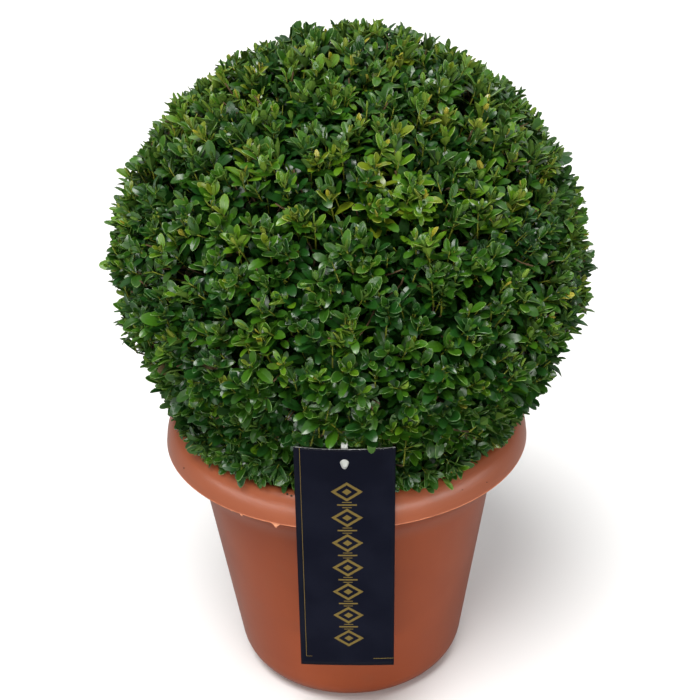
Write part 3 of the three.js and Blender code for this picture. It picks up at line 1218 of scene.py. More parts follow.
@dataclass
class PottingMix:
    """Crumbly surface of the potting mix inside the pot's mouth, with specks spilt on the rim."""

    radius: float = 135.2 * MM
    top: float = 238 * MM
    mound: float = 3 * MM
    gap: float = 0.6 * MM
    shoulder: float = 6 * MM
    clods: float = 1.4 * MM
    grit: float = 0.1 * MM
    crumbs: int = 420
    # specks on the rim: angle from +X in degrees, radius in millimetres, size in millimetres
    specks: tuple[Place, ...] = (
        (209.5, 158.0, 2.0),
        (188.0, 150.6, 3.6),
        (188.9, 149.4, 3.0),
        (252.5, 151.2, 2.6),
        (251.2, 150.4, 1.8),
        (197.0, 141.0, 2.0),
        (316.0, 158.2, 1.2),
        (306.0, 157.0, 1.2),
        (320.0, 147.0, 1.6),
        (341.0, 143.0, 1.5),
        (60.0, 149.0, 1.6),
        (118.0, 151.0, 2.0),
    )
    finish: MottledFinish = POTTING_MIX

    def _body(self, pot: Pot, rng: Random) -> Solid:
        """The whole body of the mix: it fills the pot, and its top is rough ground.

        Args:
            pot: the pot round it.
            rng: roughens the ground.

        Returns:
            Points and triangles.
        """
        segments, rough_rings = 120, 46
        inset = pot.wall + self.gap
        foot = pot.corner(inset, inset, pot.base_corner - inset)
        cove_foot = pot.lip_height - pot.cove_height
        cove_radius = float(pot.wall_radius(np.array(cove_foot))) - pot.cove_thickness - self.gap
        shoulder = [self.radius, pot.inner_skin_bottom - self.shoulder]
        wall = np.array([[cove_radius, cove_foot], shoulder])
        rings = np.linspace(self.radius, AXIS_GAP, rough_rings)
        ground = np.stack([rings, self.top + self.mound * (1 - (rings / self.radius) ** 2)], axis=1)
        profile = np.concatenate([np.array([[AXIS_GAP, inset]]), foot, wall, ground])
        points, triangles = turned_surface(profile, segments)
        flat = points.reshape(-1, 3)
        for index in range(len(flat) - rough_rings * segments, len(flat)):
            point = Vector(flat[index])
            rough = noise.noise(point * 190) + 0.6 * noise.noise(point * 480)
            flat[index, 2] += self.clods * rough + rng.normal(scale=self.grit)
        return flat, triangles

    def _lumps(self, centres: Array, sizes: Array, rng: Random) -> Solid:
        """Small uneven lumps, each an icosahedron pushed out of shape.

        Args:
            centres: their places.
            sizes: their radii.
            rng: shapes them.

        Returns:
            Points and triangles.
        """
        shape = bmesh.new()
        bmesh.ops.create_icosphere(shape, subdivisions=1, radius=1.0)
        ball = np.array([v.co for v in shape.verts])
        faces = np.array([[v.index for v in f.verts] for f in shape.faces])
        shape.free()
        stretch = rng.uniform(0.55, 1.25, size=(len(centres), 1, 3))
        dents = 1 + rng.normal(scale=0.16, size=(len(centres), len(ball), 1))
        points = centres[:, None] + ball[None] * stretch * dents * sizes[:, None, None]
        return points.reshape(-1, 3), repeated(faces, len(centres), len(ball))

    def build(self, pot: Pot, rng: Random) -> None:
        """Builds the ground, its loose crumbs and the specks on the rim.

        Args:
            pot: the pot round it.
            rng: places and shapes the crumbs.
        """
        material = self.finish.material()
        ground = MeshDraft()
        ground.add(*self._body(pot, rng))
        finish_piece(ground.build("potting_mix_ground", [material]), "potting_mix", ("potting_mix",))
        angle = rng.uniform(0, 2 * math.pi, self.crumbs)
        out = self.radius * np.sqrt(rng.uniform(0.1, 0.97, self.crumbs))
        height = self.top + self.mound * (1 - (out / self.radius) ** 2) + 0.6 * MM
        crumbs = np.stack([out * np.cos(angle), out * np.sin(angle), height], axis=1)
        speck = np.array(self.specks)
        turn, reach = np.radians(speck[:, 0]), speck[:, 1] * MM
        rest = pot.rim_top(reach) + speck[:, 2] * 0.25 * MM
        spilt = np.stack([reach * np.cos(turn), reach * np.sin(turn), rest], axis=1)
        loose = MeshDraft()
        loose.add(*self._lumps(crumbs, rng.uniform(0.7, 2.2, self.crumbs) * MM, rng))
        loose.add(*self._lumps(spilt, speck[:, 2] * 0.5 * MM, rng))
        finish_piece(loose.build("potting_mix_crumbs", [material], smooth=False), "potting_mix", ())


# ---------- hang tag ----------


@dataclass
class HangTag:
    """A strip of printed card that hangs on the rim's front, bowed across its width, with its band.

    The card's own axes are X across, Y up the card and Z out of its printed face.
    """

    width: float = 78.4 * MM
    length: float = 223.9 * MM
    thickness: float = 0.9 * MM
    centre: Place = (-3.3 * MM, -155.9 * MM, 199.7 * MM)
    tilt: float = 0.0574
    roll: float = 0.0128
    yaw: float = -0.0372
    bow_at_rim: float = 3.0 * MM
    bow_at_foot: float = 1.0 * MM
    bow_share: float = 0.64
    hole_down: float = 12.5 * MM
    hole_radius: float = 3.4 * MM
    hole_point: float = 5.6 * MM
    band_width: float = 5 * MM
    band_thickness: float = 0.9 * MM
    band_rise: float = 3.2 * MM
    head_width: float = 12 * MM
    head_length: float = 15 * MM
    gilt_thickness: float = 0.12 * MM
    gilt_depth: float = 0.05 * MM
    print_finish: MottledFinish = TAG_PRINT

    def matrix(self) -> Matrix:
        """The card's frame in the part's frame.

        Returns:
            The matrix.
        """
        turn = Matrix.Rotation(self.yaw, 4, "Z") @ Matrix.Rotation(self.tilt, 4, "X")
        turn = turn @ Matrix.Rotation(self.roll, 4, "Y") @ Matrix.Rotation(math.pi / 2, 4, "X")
        return Matrix.Translation(self.centre) @ turn

    def to_card(self, points: Array) -> Array:
        """Points of the part in the card's own axes."""
        inverse = np.array(self.matrix().inverted())
        return points @ inverse[:3, :3].T + inverse[:3, 3]

    def to_part(self, points: Array) -> Array:
        """Points in the card's axes as points of the part."""
        forward = np.array(self.matrix())
        return points @ forward[:3, :3].T + forward[:3, 3]

    def bow(self, x: Array, y: Array) -> Array:
        """How far the card stands forward at a place on it.

        Args:
            x: places across.
            y: places up the card.

        Returns:
            Distances out of its plane.
        """
        share = np.clip((y + self.length / 2) / (self.length * self.bow_share), 0, 1.25)
        height = self.bow_at_foot + (self.bow_at_rim - self.bow_at_foot) * share
        return height * (1 - (2 * x / self.width) ** 2)

    def _hole_outline(self, count: int) -> Array:
        """Points round the drop-shaped hole, at even angles about its centre.

        Args:
            count: number of points.

        Returns:
            Points, (count, 2).
        """
        angle = np.arange(count) * 2 * math.pi / count
        pull = np.clip(-np.sin(angle), 0, 1) ** 3
        radius = self.hole_radius + (self.hole_point - self.hole_radius) * pull
        narrow = 1 - 0.25 * np.clip(-np.sin(angle), 0, 1)
        return np.stack([radius * np.cos(angle) * narrow, radius * np.sin(angle)], axis=1)

    def _face(self) -> Solid:
        """Flat points and triangles of the card's face with the hole in it.

        Returns:
            Points and triangles.
        """
        half_w, half_l = self.width / 2, self.length / 2
        hole_y = half_l - self.hole_down
        patch = 8 * MM
        columns = stops((-half_w, -patch, patch, half_w), (9, 9, 9))
        rows = stops((-half_l, hole_y - patch, hole_y + patch, half_l), (45, 9, 3))
        across_card, up_card = np.meshgrid(columns, rows)
        grid = np.stack([across_card, up_card], axis=-1).reshape(-1, 2)
        triangles = grid_triangles(len(rows), len(columns), closed=False)
        middles = grid[triangles].mean(axis=1)
        inside = (np.abs(middles[:, 0]) < patch) & (np.abs(middles[:, 1] - hole_y) < patch)
        edge = self._patch_edge(patch, 8)
        outline = self._hole_outline(len(edge))
        rings = [edge + (outline - edge) * share for share in (0, 0.4, 0.75, 1)]
        fan = np.concatenate(rings) + np.array([0, hole_y])
        fan_triangles = grid_triangles(len(rings), len(edge), closed=True) + len(grid)
        return np.concatenate([grid, fan]), np.concatenate([triangles[~inside], fan_triangles])

    @staticmethod
    def _patch_edge(half: float, steps: int) -> Array:
        """Points round a square, anticlockwise from the middle of its right side.

        Args:
            half: half its side.
            steps: steps on a side.

        Returns:
            Points, (4 steps, 2).
        """
        run = np.linspace(-half, half, steps + 1)[:-1]
        right = np.stack([np.full(steps, half), run], axis=1)
        top = np.stack([-run, np.full(steps, half)], axis=1)
        left = np.stack([np.full(steps, -half), -run], axis=1)
        bottom = np.stack([run, np.full(steps, -half)], axis=1)
        return np.roll(np.concatenate([right, top, left, bottom]), -steps // 2, axis=0)

    def _bowed(self, flat: Array, lift: float) -> Array:
        """Flat points set on the bowed card, lifted off its middle surface."""
        return np.column_stack([flat, self.bow(flat[:, 0], flat[:, 1]) + lift])

    def _card(self) -> Piece:
        """The card: one bowed sheet given its thickness, with pale cut edges.

        Returns:
            The piece.
        """
        flat, triangles = self._face()
        draft = MeshDraft()
        draft.add(self.to_part(self._bowed(flat, self.thickness / 2)), triangles)
        edge = PlainFinish("tag_edge", srgb(236, 236, 238), 0.5)
        piece = draft.build("tag_card", [self.print_finish.material(), edge.material()])
        shape = bmesh.new()
        shape.from_mesh(piece.data)
        bmesh.ops.remove_doubles(shape, verts=shape.verts, dist=0.01 * MM)
        loose = [v for v in shape.verts if not v.link_faces]
        bmesh.ops.delete(shape, geom=loose, context="VERTS")
        shape.to_mesh(piece.data)
        shape.free()
        thick = piece.modifiers.new("thickness", "SOLIDIFY")
        thick.thickness = self.thickness
        thick.offset = -1
        thick.material_offset_rim = 1
        thick.use_rim = True
        return self._applied(piece)

    @staticmethod
    def _applied(piece: Piece) -> Piece:
        """The piece with its modifiers worked into its mesh.

        Args:
            piece: the piece.

        Returns:
            The same piece.
        """
        graph = bpy.context.evaluated_depsgraph_get()
        finished = bpy.data.meshes.new_from_object(piece.evaluated_get(graph))
        piece.modifiers.clear()
        piece.data = finished
        return piece

    def _gilt_strip(self, draft: MeshDraft, outline: list[Pair]) -> None:
        """A thin raised strip of gilding inside a convex outline, given in millimetres on the card.

        Args:
            draft: the mesh it joins.
            outline: its corners.
        """
        corners = np.array(outline) * MM
        share = np.linspace(0, 1, 7)[:-1, None]
        sides = zip(corners, np.roll(corners, -1, axis=0))
        steps = np.concatenate([start + (end - start) * share for start, end in sides])
        flat = np.concatenate([steps, steps.mean(axis=0, keepdims=True)])
        count = len(steps)
        top = self._bowed(flat, self.thickness / 2 + self.gilt_thickness)
        foot = self._bowed(flat, self.thickness / 2 - self.gilt_depth)
        rings = np.concatenate([foot[:-1], top, foot[-1:]])
        wall = grid_triangles(2, count, closed=True)
        cap = np.array([[2 * count, count + i, count + (i + 1) % count] for i in range(count)])
        floor = np.array([[2 * count + 1, (i + 1) % count, i] for i in range(count)])
        draft.add(self.to_part(rings), np.concatenate([wall, cap, floor]))

    def _gilding(self) -> Piece:
        """Plain border rules and a generic column of lozenges, bars and beads.

        Returns:
            The piece.
        """
        draft = MeshDraft()
        half_w, half_l = self.width / MM / 2, self.length / MM / 2
        left, right = -half_w + 4.6, half_w - 0.2
        low, rule, corner = -half_l + 9.5, 0.4, 5
        self._box(draft, left, low, left + rule, half_l)
        self._box(draft, left, low, left + corner, low + rule)
        self._box(draft, right - 17, low - 2, right, low - 1.5)
        middle, lowest, pitch, count = 1.5, 31, 25.5, 7
        for index in range(count):
            y = -half_l + lowest + pitch * index
            self._lozenge(draft, middle, y, wide=12.5, tall=9.2, line=2.7)
            self._lozenge(draft, middle, y, wide=3.8, tall=3.0, line=0)
            if index < count - 1:
                between = y + pitch / 2
                self._bar(draft, middle, between, width=15.5, height=1.3)
                self._bar(draft, middle, between + 2.6, width=7.5, height=0.7)
                self._bar(draft, middle, between - 2.6, width=7.5, height=0.7)
        gold = PlainFinish("tag_gilding", srgb(124, 106, 56), 0.38, metallic=0.3, specular=0.2)
        return draft.build("tag_gilding", [gold.material()], smooth=False)

    def _box(self, draft: MeshDraft, left: float, low: float, right: float, high: float) -> None:
        """A rectangle of gilding between four edges."""
        self._gilt_strip(draft, [(left, low), (right, low), (right, high), (left, high)])

    def _bar(self, draft: MeshDraft, x: float, y: float, width: float, height: float) -> None:
        """A level bar of gilding about a place."""
        self._box(draft, x - width / 2, y - height / 2, x + width / 2, y + height / 2)

    def _lozenge(self, draft: MeshDraft, x: float, y: float, wide: float, tall: float, line: float) -> None:
        """A lozenge of gilding, open if it has a line width and filled if it has none.

        Args:
            draft: the mesh it joins.
            x: middle across.
            y: middle up the card.
            wide: half its width.
            tall: half its height.
            line: its line width.
        """
        tips = [(x + wide, y), (x, y + tall), (x - wide, y), (x, y - tall)]
        if not line:
            self._gilt_strip(draft, tips)
            return
        share = 1 - line / tall
        inner = [(x + wide * share, y), (x, y + tall * share), (x - wide * share, y), (x, y - tall * share)]
        for i in range(4):
            j = (i + 1) % 4
            self._gilt_strip(draft, [tips[i], tips[j], inner[j], inner[i]])

    def _band_route(self) -> Array:
        """The band's line behind the card, over its top and down again: (up the card, out of it).

        Returns:
            Points, (stations, 2).
        """
        back = self.bow_at_rim - self.thickness / 2 - 0.3 * MM - self.band_thickness / 2
        top = self.length / 2
        hole = top - self.hole_down
        knots = np.array(
            [
                [hole - self.head_length / 2, back],
                [hole, back],
                [hole + 6 * MM, back],
                [top - 2 * MM, back - 0.1 * MM],
                [top + self.band_rise - 0.4 * MM, back - 1.2 * MM],
                [top + self.band_rise - 1.0 * MM, back - 4.2 * MM],
                [top - 4 * MM, back - 7 * MM],
                [top - 10 * MM, back - 10.5 * MM],
            ]
        )
        return smooth_line(knots, 7)

    def _band(self) -> Piece:
        """The milky band with rounded edges, and its broader head behind the hole.

        Returns:
            The piece.
        """
        route = self._band_route()
        draft = MeshDraft()
        self._ribbon(draft, route, self.band_width)
        head = route[: int(len(route) * 0.3)]
        taper = np.sin(np.linspace(0.25, math.pi - 0.25, len(head))) ** 0.35
        self._ribbon(draft, head, self.head_width * taper)
        milky = PlainFinish("tie_plastic", srgb(214, 217, 211), 0.34, coat=0.2)
        return draft.build("tag_band", [milky.material()])

    def _ribbon(self, draft: MeshDraft, route: Array, width: Array | float) -> None:
        """A flat band with rounded edges along a route in the card's middle plane.

        Args:
            draft: the mesh it joins.
            route: points on its line.
            width: its width.
        """
        count = len(route)
        tangent = unit(np.gradient(route, axis=0))
        out = np.stack([-tangent[:, 1], tangent[:, 0]], axis=1)
        sides, side_power, face_power = 12, 0.35, 0.7
        angle = np.arange(sides) * 2 * math.pi / sides
        flat_x = np.sign(np.cos(angle)) * np.abs(np.cos(angle)) ** side_power
        flat_z = np.sign(np.sin(angle)) * np.abs(np.sin(angle)) ** face_power
        half = np.broadcast_to(width, (count,)) / 2
        x = half[:, None] * flat_x
        lift = self.band_thickness / 2 * flat_z
        y = route[:, 0, None] + out[:, 0, None] * lift
        z = route[:, 1, None] + out[:, 1, None] * lift
        points = np.stack([x, y, z], axis=-1)
        draft.add(self.to_part(points.reshape(-1, 3)), capped_triangles(count, sides)[:, ::-1])

    def covers(self, points: Array, slope: float) -> Array:
        """Whether points lie in the card or before it, where they would hide its face.

        Args:
            points: points of the part, (..., 3).
            slope: how steeply the view looks down on the card.

        Returns:
            A mask, true where a point is in the way.
        """
        place = self.to_card(points.reshape(-1, 3)).reshape(points.shape)
        x, y, z = place[..., 0], place[..., 1], place[..., 2]
        behind = self.bow(x, y) - 1.6 * MM
        top = self.length / 2
        below = y - slope * (z - behind) < top + 1.0 * MM
        beside = np.abs(x) < self.width / 2 + 1.2 * MM
        at_band = (np.abs(x) < self.band_width) & (y > top - 16 * MM) & (y < top + 7 * MM)
        return (beside & below & (z > behind)) | (at_band & (z > -12 * MM))

    def build(self) -> None:
        """Builds the card, its gilding and its band."""
        finish_piece(self._card(), "tag_card", ("tag",))
        finish_piece(self._gilding(), "tag_card", ())
        finish_piece(self._band(), "tie_plastic", ("tag_tie",))


def smooth_line(knots: Array, steps: int) -> Array:
    """A smooth line through knots, with as many steps between each pair.

    Args:
        knots: places on the line.
        steps: steps from one knot to the next.

    Returns:
        Points on the line.
    """
    padded = np.concatenate([knots[:1] * 2 - knots[1:2], knots, knots[-1:] * 2 - knots[-2:-1]])
    pieces = []
    for i in range(len(knots) - 1):
        a, b, c, d = padded[i : i + 4]
        t = np.linspace(0, 1, steps + 1)[:-1, None]
        slopes = (c - a) * t + (2 * a - 5 * b + 4 * c - d) * t**2 + (3 * b - a - 3 * c + d) * t**3
        pieces.append(0.5 * (2 * b + slopes))
    return np.concatenate([*pieces, knots[-1:]])


# ---------- crown ----------


# spread of the freshness that the shoots of a tuft share
TUFT_TONE = 0.55


@dataclass
class ShearedOutline:
    """The outline that the shears left, read from the crown's solid in the frame."""

    node: str = "foliage_ball"
    centre: Place = (6.5 * MM, 0.0, 395.1 * MM)
    # how far the shears' outline stands from the solid's surface
    offset: Place = (2.2 * MM, 0.0, 0.0)

    def __post_init__(self) -> None:
        """Keeps the solid's surface for rays."""
        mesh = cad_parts[self.node].data
        faces = [tuple(p.vertices) for p in mesh.polygons]
        self.tree = BVHTree.FromPolygons([v.co for v in mesh.vertices], faces)
        self.origin = np.array(self.centre)

    def reach(self, directions: Array) -> Array:
        """Points where rays from the ball's centre leave the crown.

        Args:
            directions: directions of the rays.

        Returns:
            Points, (rays, 3).
        """
        start = Vector(self.centre)
        hits = [self.tree.ray_cast(start, Vector(d))[0] for d in directions]
        return np.array([h if h is not None else start for h in hits]) + np.array(self.offset)


@dataclass(frozen=True)
class LimbOrder:
    """One order of limbs: how many, what share of the way out they end, and how thick they are."""

    count: int
    reach: float
    foot_radius: float
    tip_radius: float
    stations: int
    sides: int
    wander: float


@dataclass(frozen=True)
class ShootLayer:
    """One layer of leafy shoots below the outline, gathered in tufts. Lengths are in millimetres."""

    count: int
    depth: Pair
    leaf: float
    upward: float
    tufts: int
    pairs: tuple[int, int] = (4, 5)
    full_pairs: int = 0
    plain_pairs: int = 0
    radius: float = 0.8
    stations: int = 3
    tuft_depth: float = 4.0
    tuft_drop: float = 3.0


@dataclass(frozen=True)
class Skirt:
    """The tufts that hang over the rim. Lengths are in millimetres and bearings in degrees.

    The first number of rise, hang and lean moves a tip outwards, and the second moves it up.
    """

    shoots: int = 400
    tufts: int = 44
    radius: float = 145.5
    height: float = 263.5
    rise: Pair = (9.0, 17.0)
    hang: Pair = (2.5, -2.0)
    lean: Pair = (7.0, -4.0)
    lean_bearing: float = 297.0
    lean_width: float = 17.0
    scatter: Pair = (-3.0, 2.0)


@dataclass(frozen=True)
class LeafPair:
    """One pair of leaves on a shoot: its step down from the pair before, its spread and its size."""

    step: float
    spread: float
    size: float


@dataclass
class Tufts:
    """Which tuft each shoot belongs to, and what the shoots of a tuft share."""

    axes: Array
    level: Array
    tilt: Array
    tone: Array

    @classmethod
    def drawn(cls, axes: Array, depth: float, rng: Random) -> "Tufts":
        """Draws the shared values of tufts with these axes, a few of them hollows.

        Args:
            axes: direction of each.
            depth: the deepest in millimetres.
            rng: draws them.

        Returns:
            The tufts.
        """
        count = len(axes)
        hollow_share, hollow_depth = 0.07, 1.6 * depth
        level = rng.uniform(0, depth, count)
        level = np.where(rng.uniform(size=count) < hollow_share, level + hollow_depth, level)
        tilt = rng.normal(scale=0.17, size=(count, 3))
        return cls(axes, level, tilt, rng.normal(scale=TUFT_TONE, size=count))


class Wood(Enum):
    """Kinds of twig that differ in colour."""

    BARK = 0
    CUT = 1
    GREEN = 2


@dataclass
class Limbs:
    """Lines and radii of the limbs of one order."""

    lines: Array
    radii: Array

    def ends(self) -> Array:
        """Outer end of each limb."""
        return self.lines[:, -1]

    def nearest(self, points: Array) -> Array:
        """Number of the limb whose outer end is nearest to each point."""
        return np.argmin(np.linalg.norm(points[:, None] - self.ends()[None], axis=2), axis=1)

    def joint(self, index: Array, share: Array) -> tuple[Array, Array, Array]:
        """Place, direction and radius at a share of the way along chosen limbs.

        Args:
            index: number of each limb.
            share: share of its length.

        Returns:
            Places, directions and radii.
        """
        stations = self.lines.shape[1]
        at = share * (stations - 1)
        low = np.minimum(at.astype(int), stations - 2)
        part = (at - low)[:, None]
        here, there = self.lines[index, low], self.lines[index, low + 1]
        radius = self.radii[index, low] * (1 - part[:, 0]) + self.radii[index, low + 1] * part[:, 0]
        return here * (1 - part) + there * part, unit(there - here), radius


@dataclass
class BoxPlant:
    """The plant: a short stem, forking limbs, shoots and their leaves, grown by a seeded rule."""

    outline: ShearedOutline
    pot: Pot
    tag: HangTag
    stem_foot: float = 239.5 * MM
    stem_top: float = 305 * MM
    stem_flare_radius: float = 15 * MM
    stem_radius: float = 10.5 * MM
    stem_tip_radius: float = 8 * MM
    stem_lean: float = 3 * MM
    view_slope: float = 0.6
    sectors: int = 6
    gather: float = 0.28
    shoot_length: float = 24 * MM
    orders: tuple[LimbOrder, ...] = (
        LimbOrder(8, 0.40, 6.4 * MM, 4.0 * MM, 12, 14, 0.10),
        LimbOrder(44, 0.63, 3.4 * MM, 2.0 * MM, 9, 8, 0.12),
        LimbOrder(240, 0.80, 1.8 * MM, 1.1 * MM, 7, 5, 0.12),
    )
    # from the outline inwards
    layers: tuple[ShootLayer, ...] = (
        ShootLayer(
            2560, (1.6, 6.0), leaf=14.2, upward=0.78, tufts=520, pairs=(3, 5), full_pairs=2, plain_pairs=5,
            radius=0.85, stations=4, tuft_depth=3.8, tuft_drop=3.8,
        ),
        ShootLayer(1350, (10.0, 18.0), leaf=15.0, upward=0.6, tufts=260, plain_pairs=2, radius=0.75),
        ShootLayer(1150, (28.0, 46.0), leaf=22.0, upward=0.3, tufts=200),
    )
    # painted shade: the heart's leaves take the darkened deep-crown tint
    heart: ShootLayer = ShootLayer(280, (72.0, 108.0), leaf=30.0, upward=0.2, tufts=60)
    skirt: Skirt = Skirt()
    twig_sides: int = 3
    # from the tip down: steps in millimetres and spreads in degrees
    leaf_pairs: tuple[LeafPair, ...] = (
        LeafPair(2.0, 20, 0.62),
        LeafPair(3.4, 36, 0.9),
        LeafPair(4.6, 48, 1.04),
        LeafPair(5.2, 57, 1.06),
        LeafPair(5.6, 64, 1.0),
    )
    stubs: int = 260
    stub_radii: Pair = (1.0 * MM, 0.55 * MM)
    dead_share: float = 0.004
    # the leaf tints grow paler with height from here: partly real fresh growth, partly painted light on the
    # top of the ball
    fresh_and_lit_from: float = 270 * MM
    fresh_and_lit_span: float = 320 * MM
    mark_reach: float = 14 * MM
    # tips whose colour stands out: place in millimetres and age
    marked_tips: tuple[tuple[Place, LeafAge], ...] = (
        ((-121.0, -132.0, 473.0), LeafAge.YELLOW),
        ((-84.0, -71.0, 554.0), LeafAge.YELLOW),
        ((-96.0, -131.0, 503.0), LeafAge.YOUNG),
        ((-65.0, -47.0, 570.0), LeafAge.YOUNG),
        ((77.0, -121.0, 264.0), LeafAge.ORANGE),
        ((111.0, -99.0, 268.0), LeafAge.YOUNG),
    )

    def __post_init__(self) -> None:
        """Starts the seeded draws and the leaf patterns."""
        self.rng = np.random.default_rng(SEED)
        self.patterns = {detail: BladePattern(detail) for detail in BladeDetail}
        self.wood = MeshDraft()
        self.leaves: dict[BladeDetail, list[LeafBatch]] = {detail: [] for detail in BladeDetail}

    # --- limbs ---

    def _stem(self) -> Limbs:
        """The stem's line from the potting mix to its fork, with the root flare at its foot.

        Returns:
            The stem, as one limb.
        """
        share = np.linspace(0, 1, 9)
        height = self.stem_foot + (self.stem_top - self.stem_foot) * share
        line = np.stack([self.stem_lean * share, 0 * share, height], axis=1)
        flare = (self.stem_flare_radius - self.stem_radius) * np.exp(-share * 7)
        radius = self.stem_radius + (self.stem_tip_radius - self.stem_radius) * share + flare
        return Limbs(line[None], radius[None])

    def _limb_order(self, order: LimbOrder, parents: Limbs) -> Limbs:
        """Grows one order of limbs from the one before.

        Args:
            order: how many and how far.
            parents: the limbs that they fork from.

        Returns:
            The new limbs.
        """
        kept_share, steepest_fall = 0.82, -0.62
        directions = spiral_directions(int(order.count / kept_share), 0.09, self.rng)
        directions = directions[directions[:, 2] > steepest_fall][: order.count]
        goals = self.outline.origin + (self.outline.reach(directions) - self.outline.origin) * order.reach
        lowest_fork = 0.86 if len(parents.lines) == 1 else 0.5
        share = self.rng.uniform(lowest_fork, 1.0, len(goals))
        foot, along, thick = parents.joint(parents.nearest(goals), share)
        span = np.linalg.norm(goals - foot, axis=1, keepdims=True)
        out = unit(goals - self.outline.origin)
        swerve = self.rng.normal(scale=order.wander, size=goals.shape) * span
        arrival = goals - out * span * 0.3 + swerve
        lines = bezier(foot, foot + along * span * 0.38, arrival, goals, order.stations)
        taper = np.linspace(0, 1, order.stations)[None]
        start = np.minimum(order.foot_radius, thick * 0.92)[:, None]
        radii = start + (order.tip_radius - start) * taper
        return Limbs(lines, radii)

    # --- shoots ---

    def _shoots(self, layer: ShootLayer, parents: Limbs) -> None:
        """Grows one layer of shoots with their leaves, drawn together into tufts.

        Args:
            layer: the layer.
            parents: limbs that they spring from.
        """
        rng = self.rng
        directions = spiral_directions(layer.count, 0.035, rng)
        tufts = Tufts.drawn(spiral_directions(layer.tufts, 0.05, rng), layer.tuft_depth, rng)
        near = np.argmax(directions @ tufts.axes.T, axis=1)
        axis = tufts.axes[near]
        apart = np.arccos(np.clip(np.sum(directions * axis, axis=1), -1, 1))
        edge = np.clip(apart * math.sqrt(layer.tufts) / 2, 0, 1.2)
        directions = unit(directions + self.gather * (axis - directions))
        hits = self.outline.reach(directions)
        depth = rng.uniform(*layer.depth, len(hits)) + tufts.level[near] + layer.tuft_drop * edge**2
        tips = hits - directions * depth[:, None] * MM
        noisy = rng.normal(scale=0.2, size=directions.shape)
        wish = unit(0.75 * directions + layer.upward * UP + tufts.tilt[near] + noisy)
        open_air = hits[:, 2] > self.pot.crest_height + 3 * MM
        self._grow(layer, tips[open_air], wish[open_air], tufts.tone[near][open_air], parents)

    def _skirt(self, layer: ShootLayer, parents: Limbs) -> None:
        """Tufts that hang over the rim all round the ball's foot.

        Args:
            layer: the layer's measures.
            parents: limbs that they spring from.
        """
        rng, skirt, count = self.rng, self.skirt, self.skirt.shoots
        bearings = np.arange(skirt.tufts) * 2 * math.pi / skirt.tufts
        bearings = bearings + rng.normal(scale=0.05, size=skirt.tufts)
        hang = rng.uniform(-0.3, 1.0, skirt.tufts)
        tone = rng.normal(scale=TUFT_TONE, size=skirt.tufts)
        near = rng.integers(0, skirt.tufts, count)
        angle = bearings[near] + rng.normal(scale=0.06, size=count)
        level = rng.uniform(0, 1, count)
        apart = np.degrees(angle) - skirt.lean_bearing
        lean = np.exp(-((apart / skirt.lean_width) ** 2))
        out = skirt.radius + skirt.rise[0] * level + skirt.hang[0] * hang[near] + skirt.lean[0] * lean
        up = skirt.height + skirt.rise[1] * level + skirt.hang[1] * hang[near] + skirt.lean[1] * lean
        radius, height = (out + rng.uniform(*skirt.scatter, count)) * MM, up * MM
        tips = np.stack([radius * np.cos(angle), radius * np.sin(angle), height], axis=1)
        wish = np.stack([np.cos(angle), np.sin(angle), rng.uniform(-0.75, 0.3, count)], axis=1)
        heading = unit(wish + rng.normal(scale=0.2, size=wish.shape))
        self._grow(layer, tips, heading, tone[near], parents)

    def _grow(self, layer: ShootLayer, tips: Array, heading: Array, tone: Array, parents: Limbs) -> None:
        """Adds the twigs and leaves of shoots that end at given tips.

        Args:
            layer: the layer's measures.
            tips: outer end of each shoot.
            heading: direction of each shoot at its tip.
            tone: how fresh each shoot's tuft is.
            parents: limbs that the shoots spring from.
        """
        count = len(tips)
        base = tips - heading * self.shoot_length
        foot, along, thick = parents.joint(parents.nearest(base), self.rng.uniform(0.25, 1.0, count))
        span = np.linalg.norm(base - foot, axis=1, keepdims=True)
        carrier = bezier(foot, foot + along * span * 0.3, base - heading * span * 0.35, base, layer.stations)
        taper = np.linspace(1.5, 1.0, layer.stations)[None]
        radii = np.minimum(layer.radius * MM * taper, thick[:, None] * 0.95)
        self.wood.add(*tubes(carrier, radii, self.twig_sides, self.rng))
        shoot = np.stack([base, tips - heading * 0.5 * MM], axis=1)
        slim = np.broadcast_to(np.array([0.95, 0.5]) * layer.radius * MM, (count, 2))
        self.wood.add(*tubes(shoot, slim, self.twig_sides, self.rng), Wood.GREEN.value)
        self._leaf_pairs(layer, tips, heading, tone)

    def _level(self, tips: Array) -> Array:
        """How high in the ball each tip is, from nought at its foot to one near its top."""
        return np.clip((tips[:, 2] - self.fresh_and_lit_from) / self.fresh_and_lit_span, 0, 1)

    def _spray_ages(self, tips: Array, layer: ShootLayer, tone: Array) -> Array:
        """Deals a leaf age to each spray, paler towards the top of the ball: partly more fresh growth there,
        partly painted light.

        Args:
            tips: tip of each spray.
            layer: its layer.
            tone: how fresh its tuft is.

        Returns:
            Numbers of the ages in AGES.
        """
        draw = self.rng.normal(scale=0.8, size=len(tips))
        if layer.full_pairs == 0:
            # painted shade: the deeper layers' sprays take the darkened deep-crown tint
            deep = (draw < -0.2) | (layer.plain_pairs == 0)
            return np.where(deep, AGES.index(LeafAge.INNER), AGES.index(LeafAge.COOL))
        level = self._level(tips)
        # paler tints towards the top: partly fresh growth, partly painted light where the overhead light
        # falls
        fresh = tone + draw + 1.3 * (level - 0.47)
        steps = np.digitize(fresh, (-0.85, 0.45, 1.4))
        ripe = self.rng.uniform(size=len(tips)) < 0.09 * level**2
        return np.where(ripe, AGES.index(LeafAge.YOUNG), AGES.index(LeafAge.COOL) + steps)

    def _marks(self, tips: Array) -> Array:
        """Age of the tips whose colour stands out, and -1 for all others.

        Args:
            tips: the tips.

        Returns:
            Numbers in AGES.
        """
        marks = np.full(len(tips), -1)
        for place, age in self.marked_tips:
            away = np.linalg.norm(tips - np.array(place) * MM, axis=1)
            if away.min() < self.mark_reach:
                marks[np.argmin(away)] = AGES.index(age)
        return marks

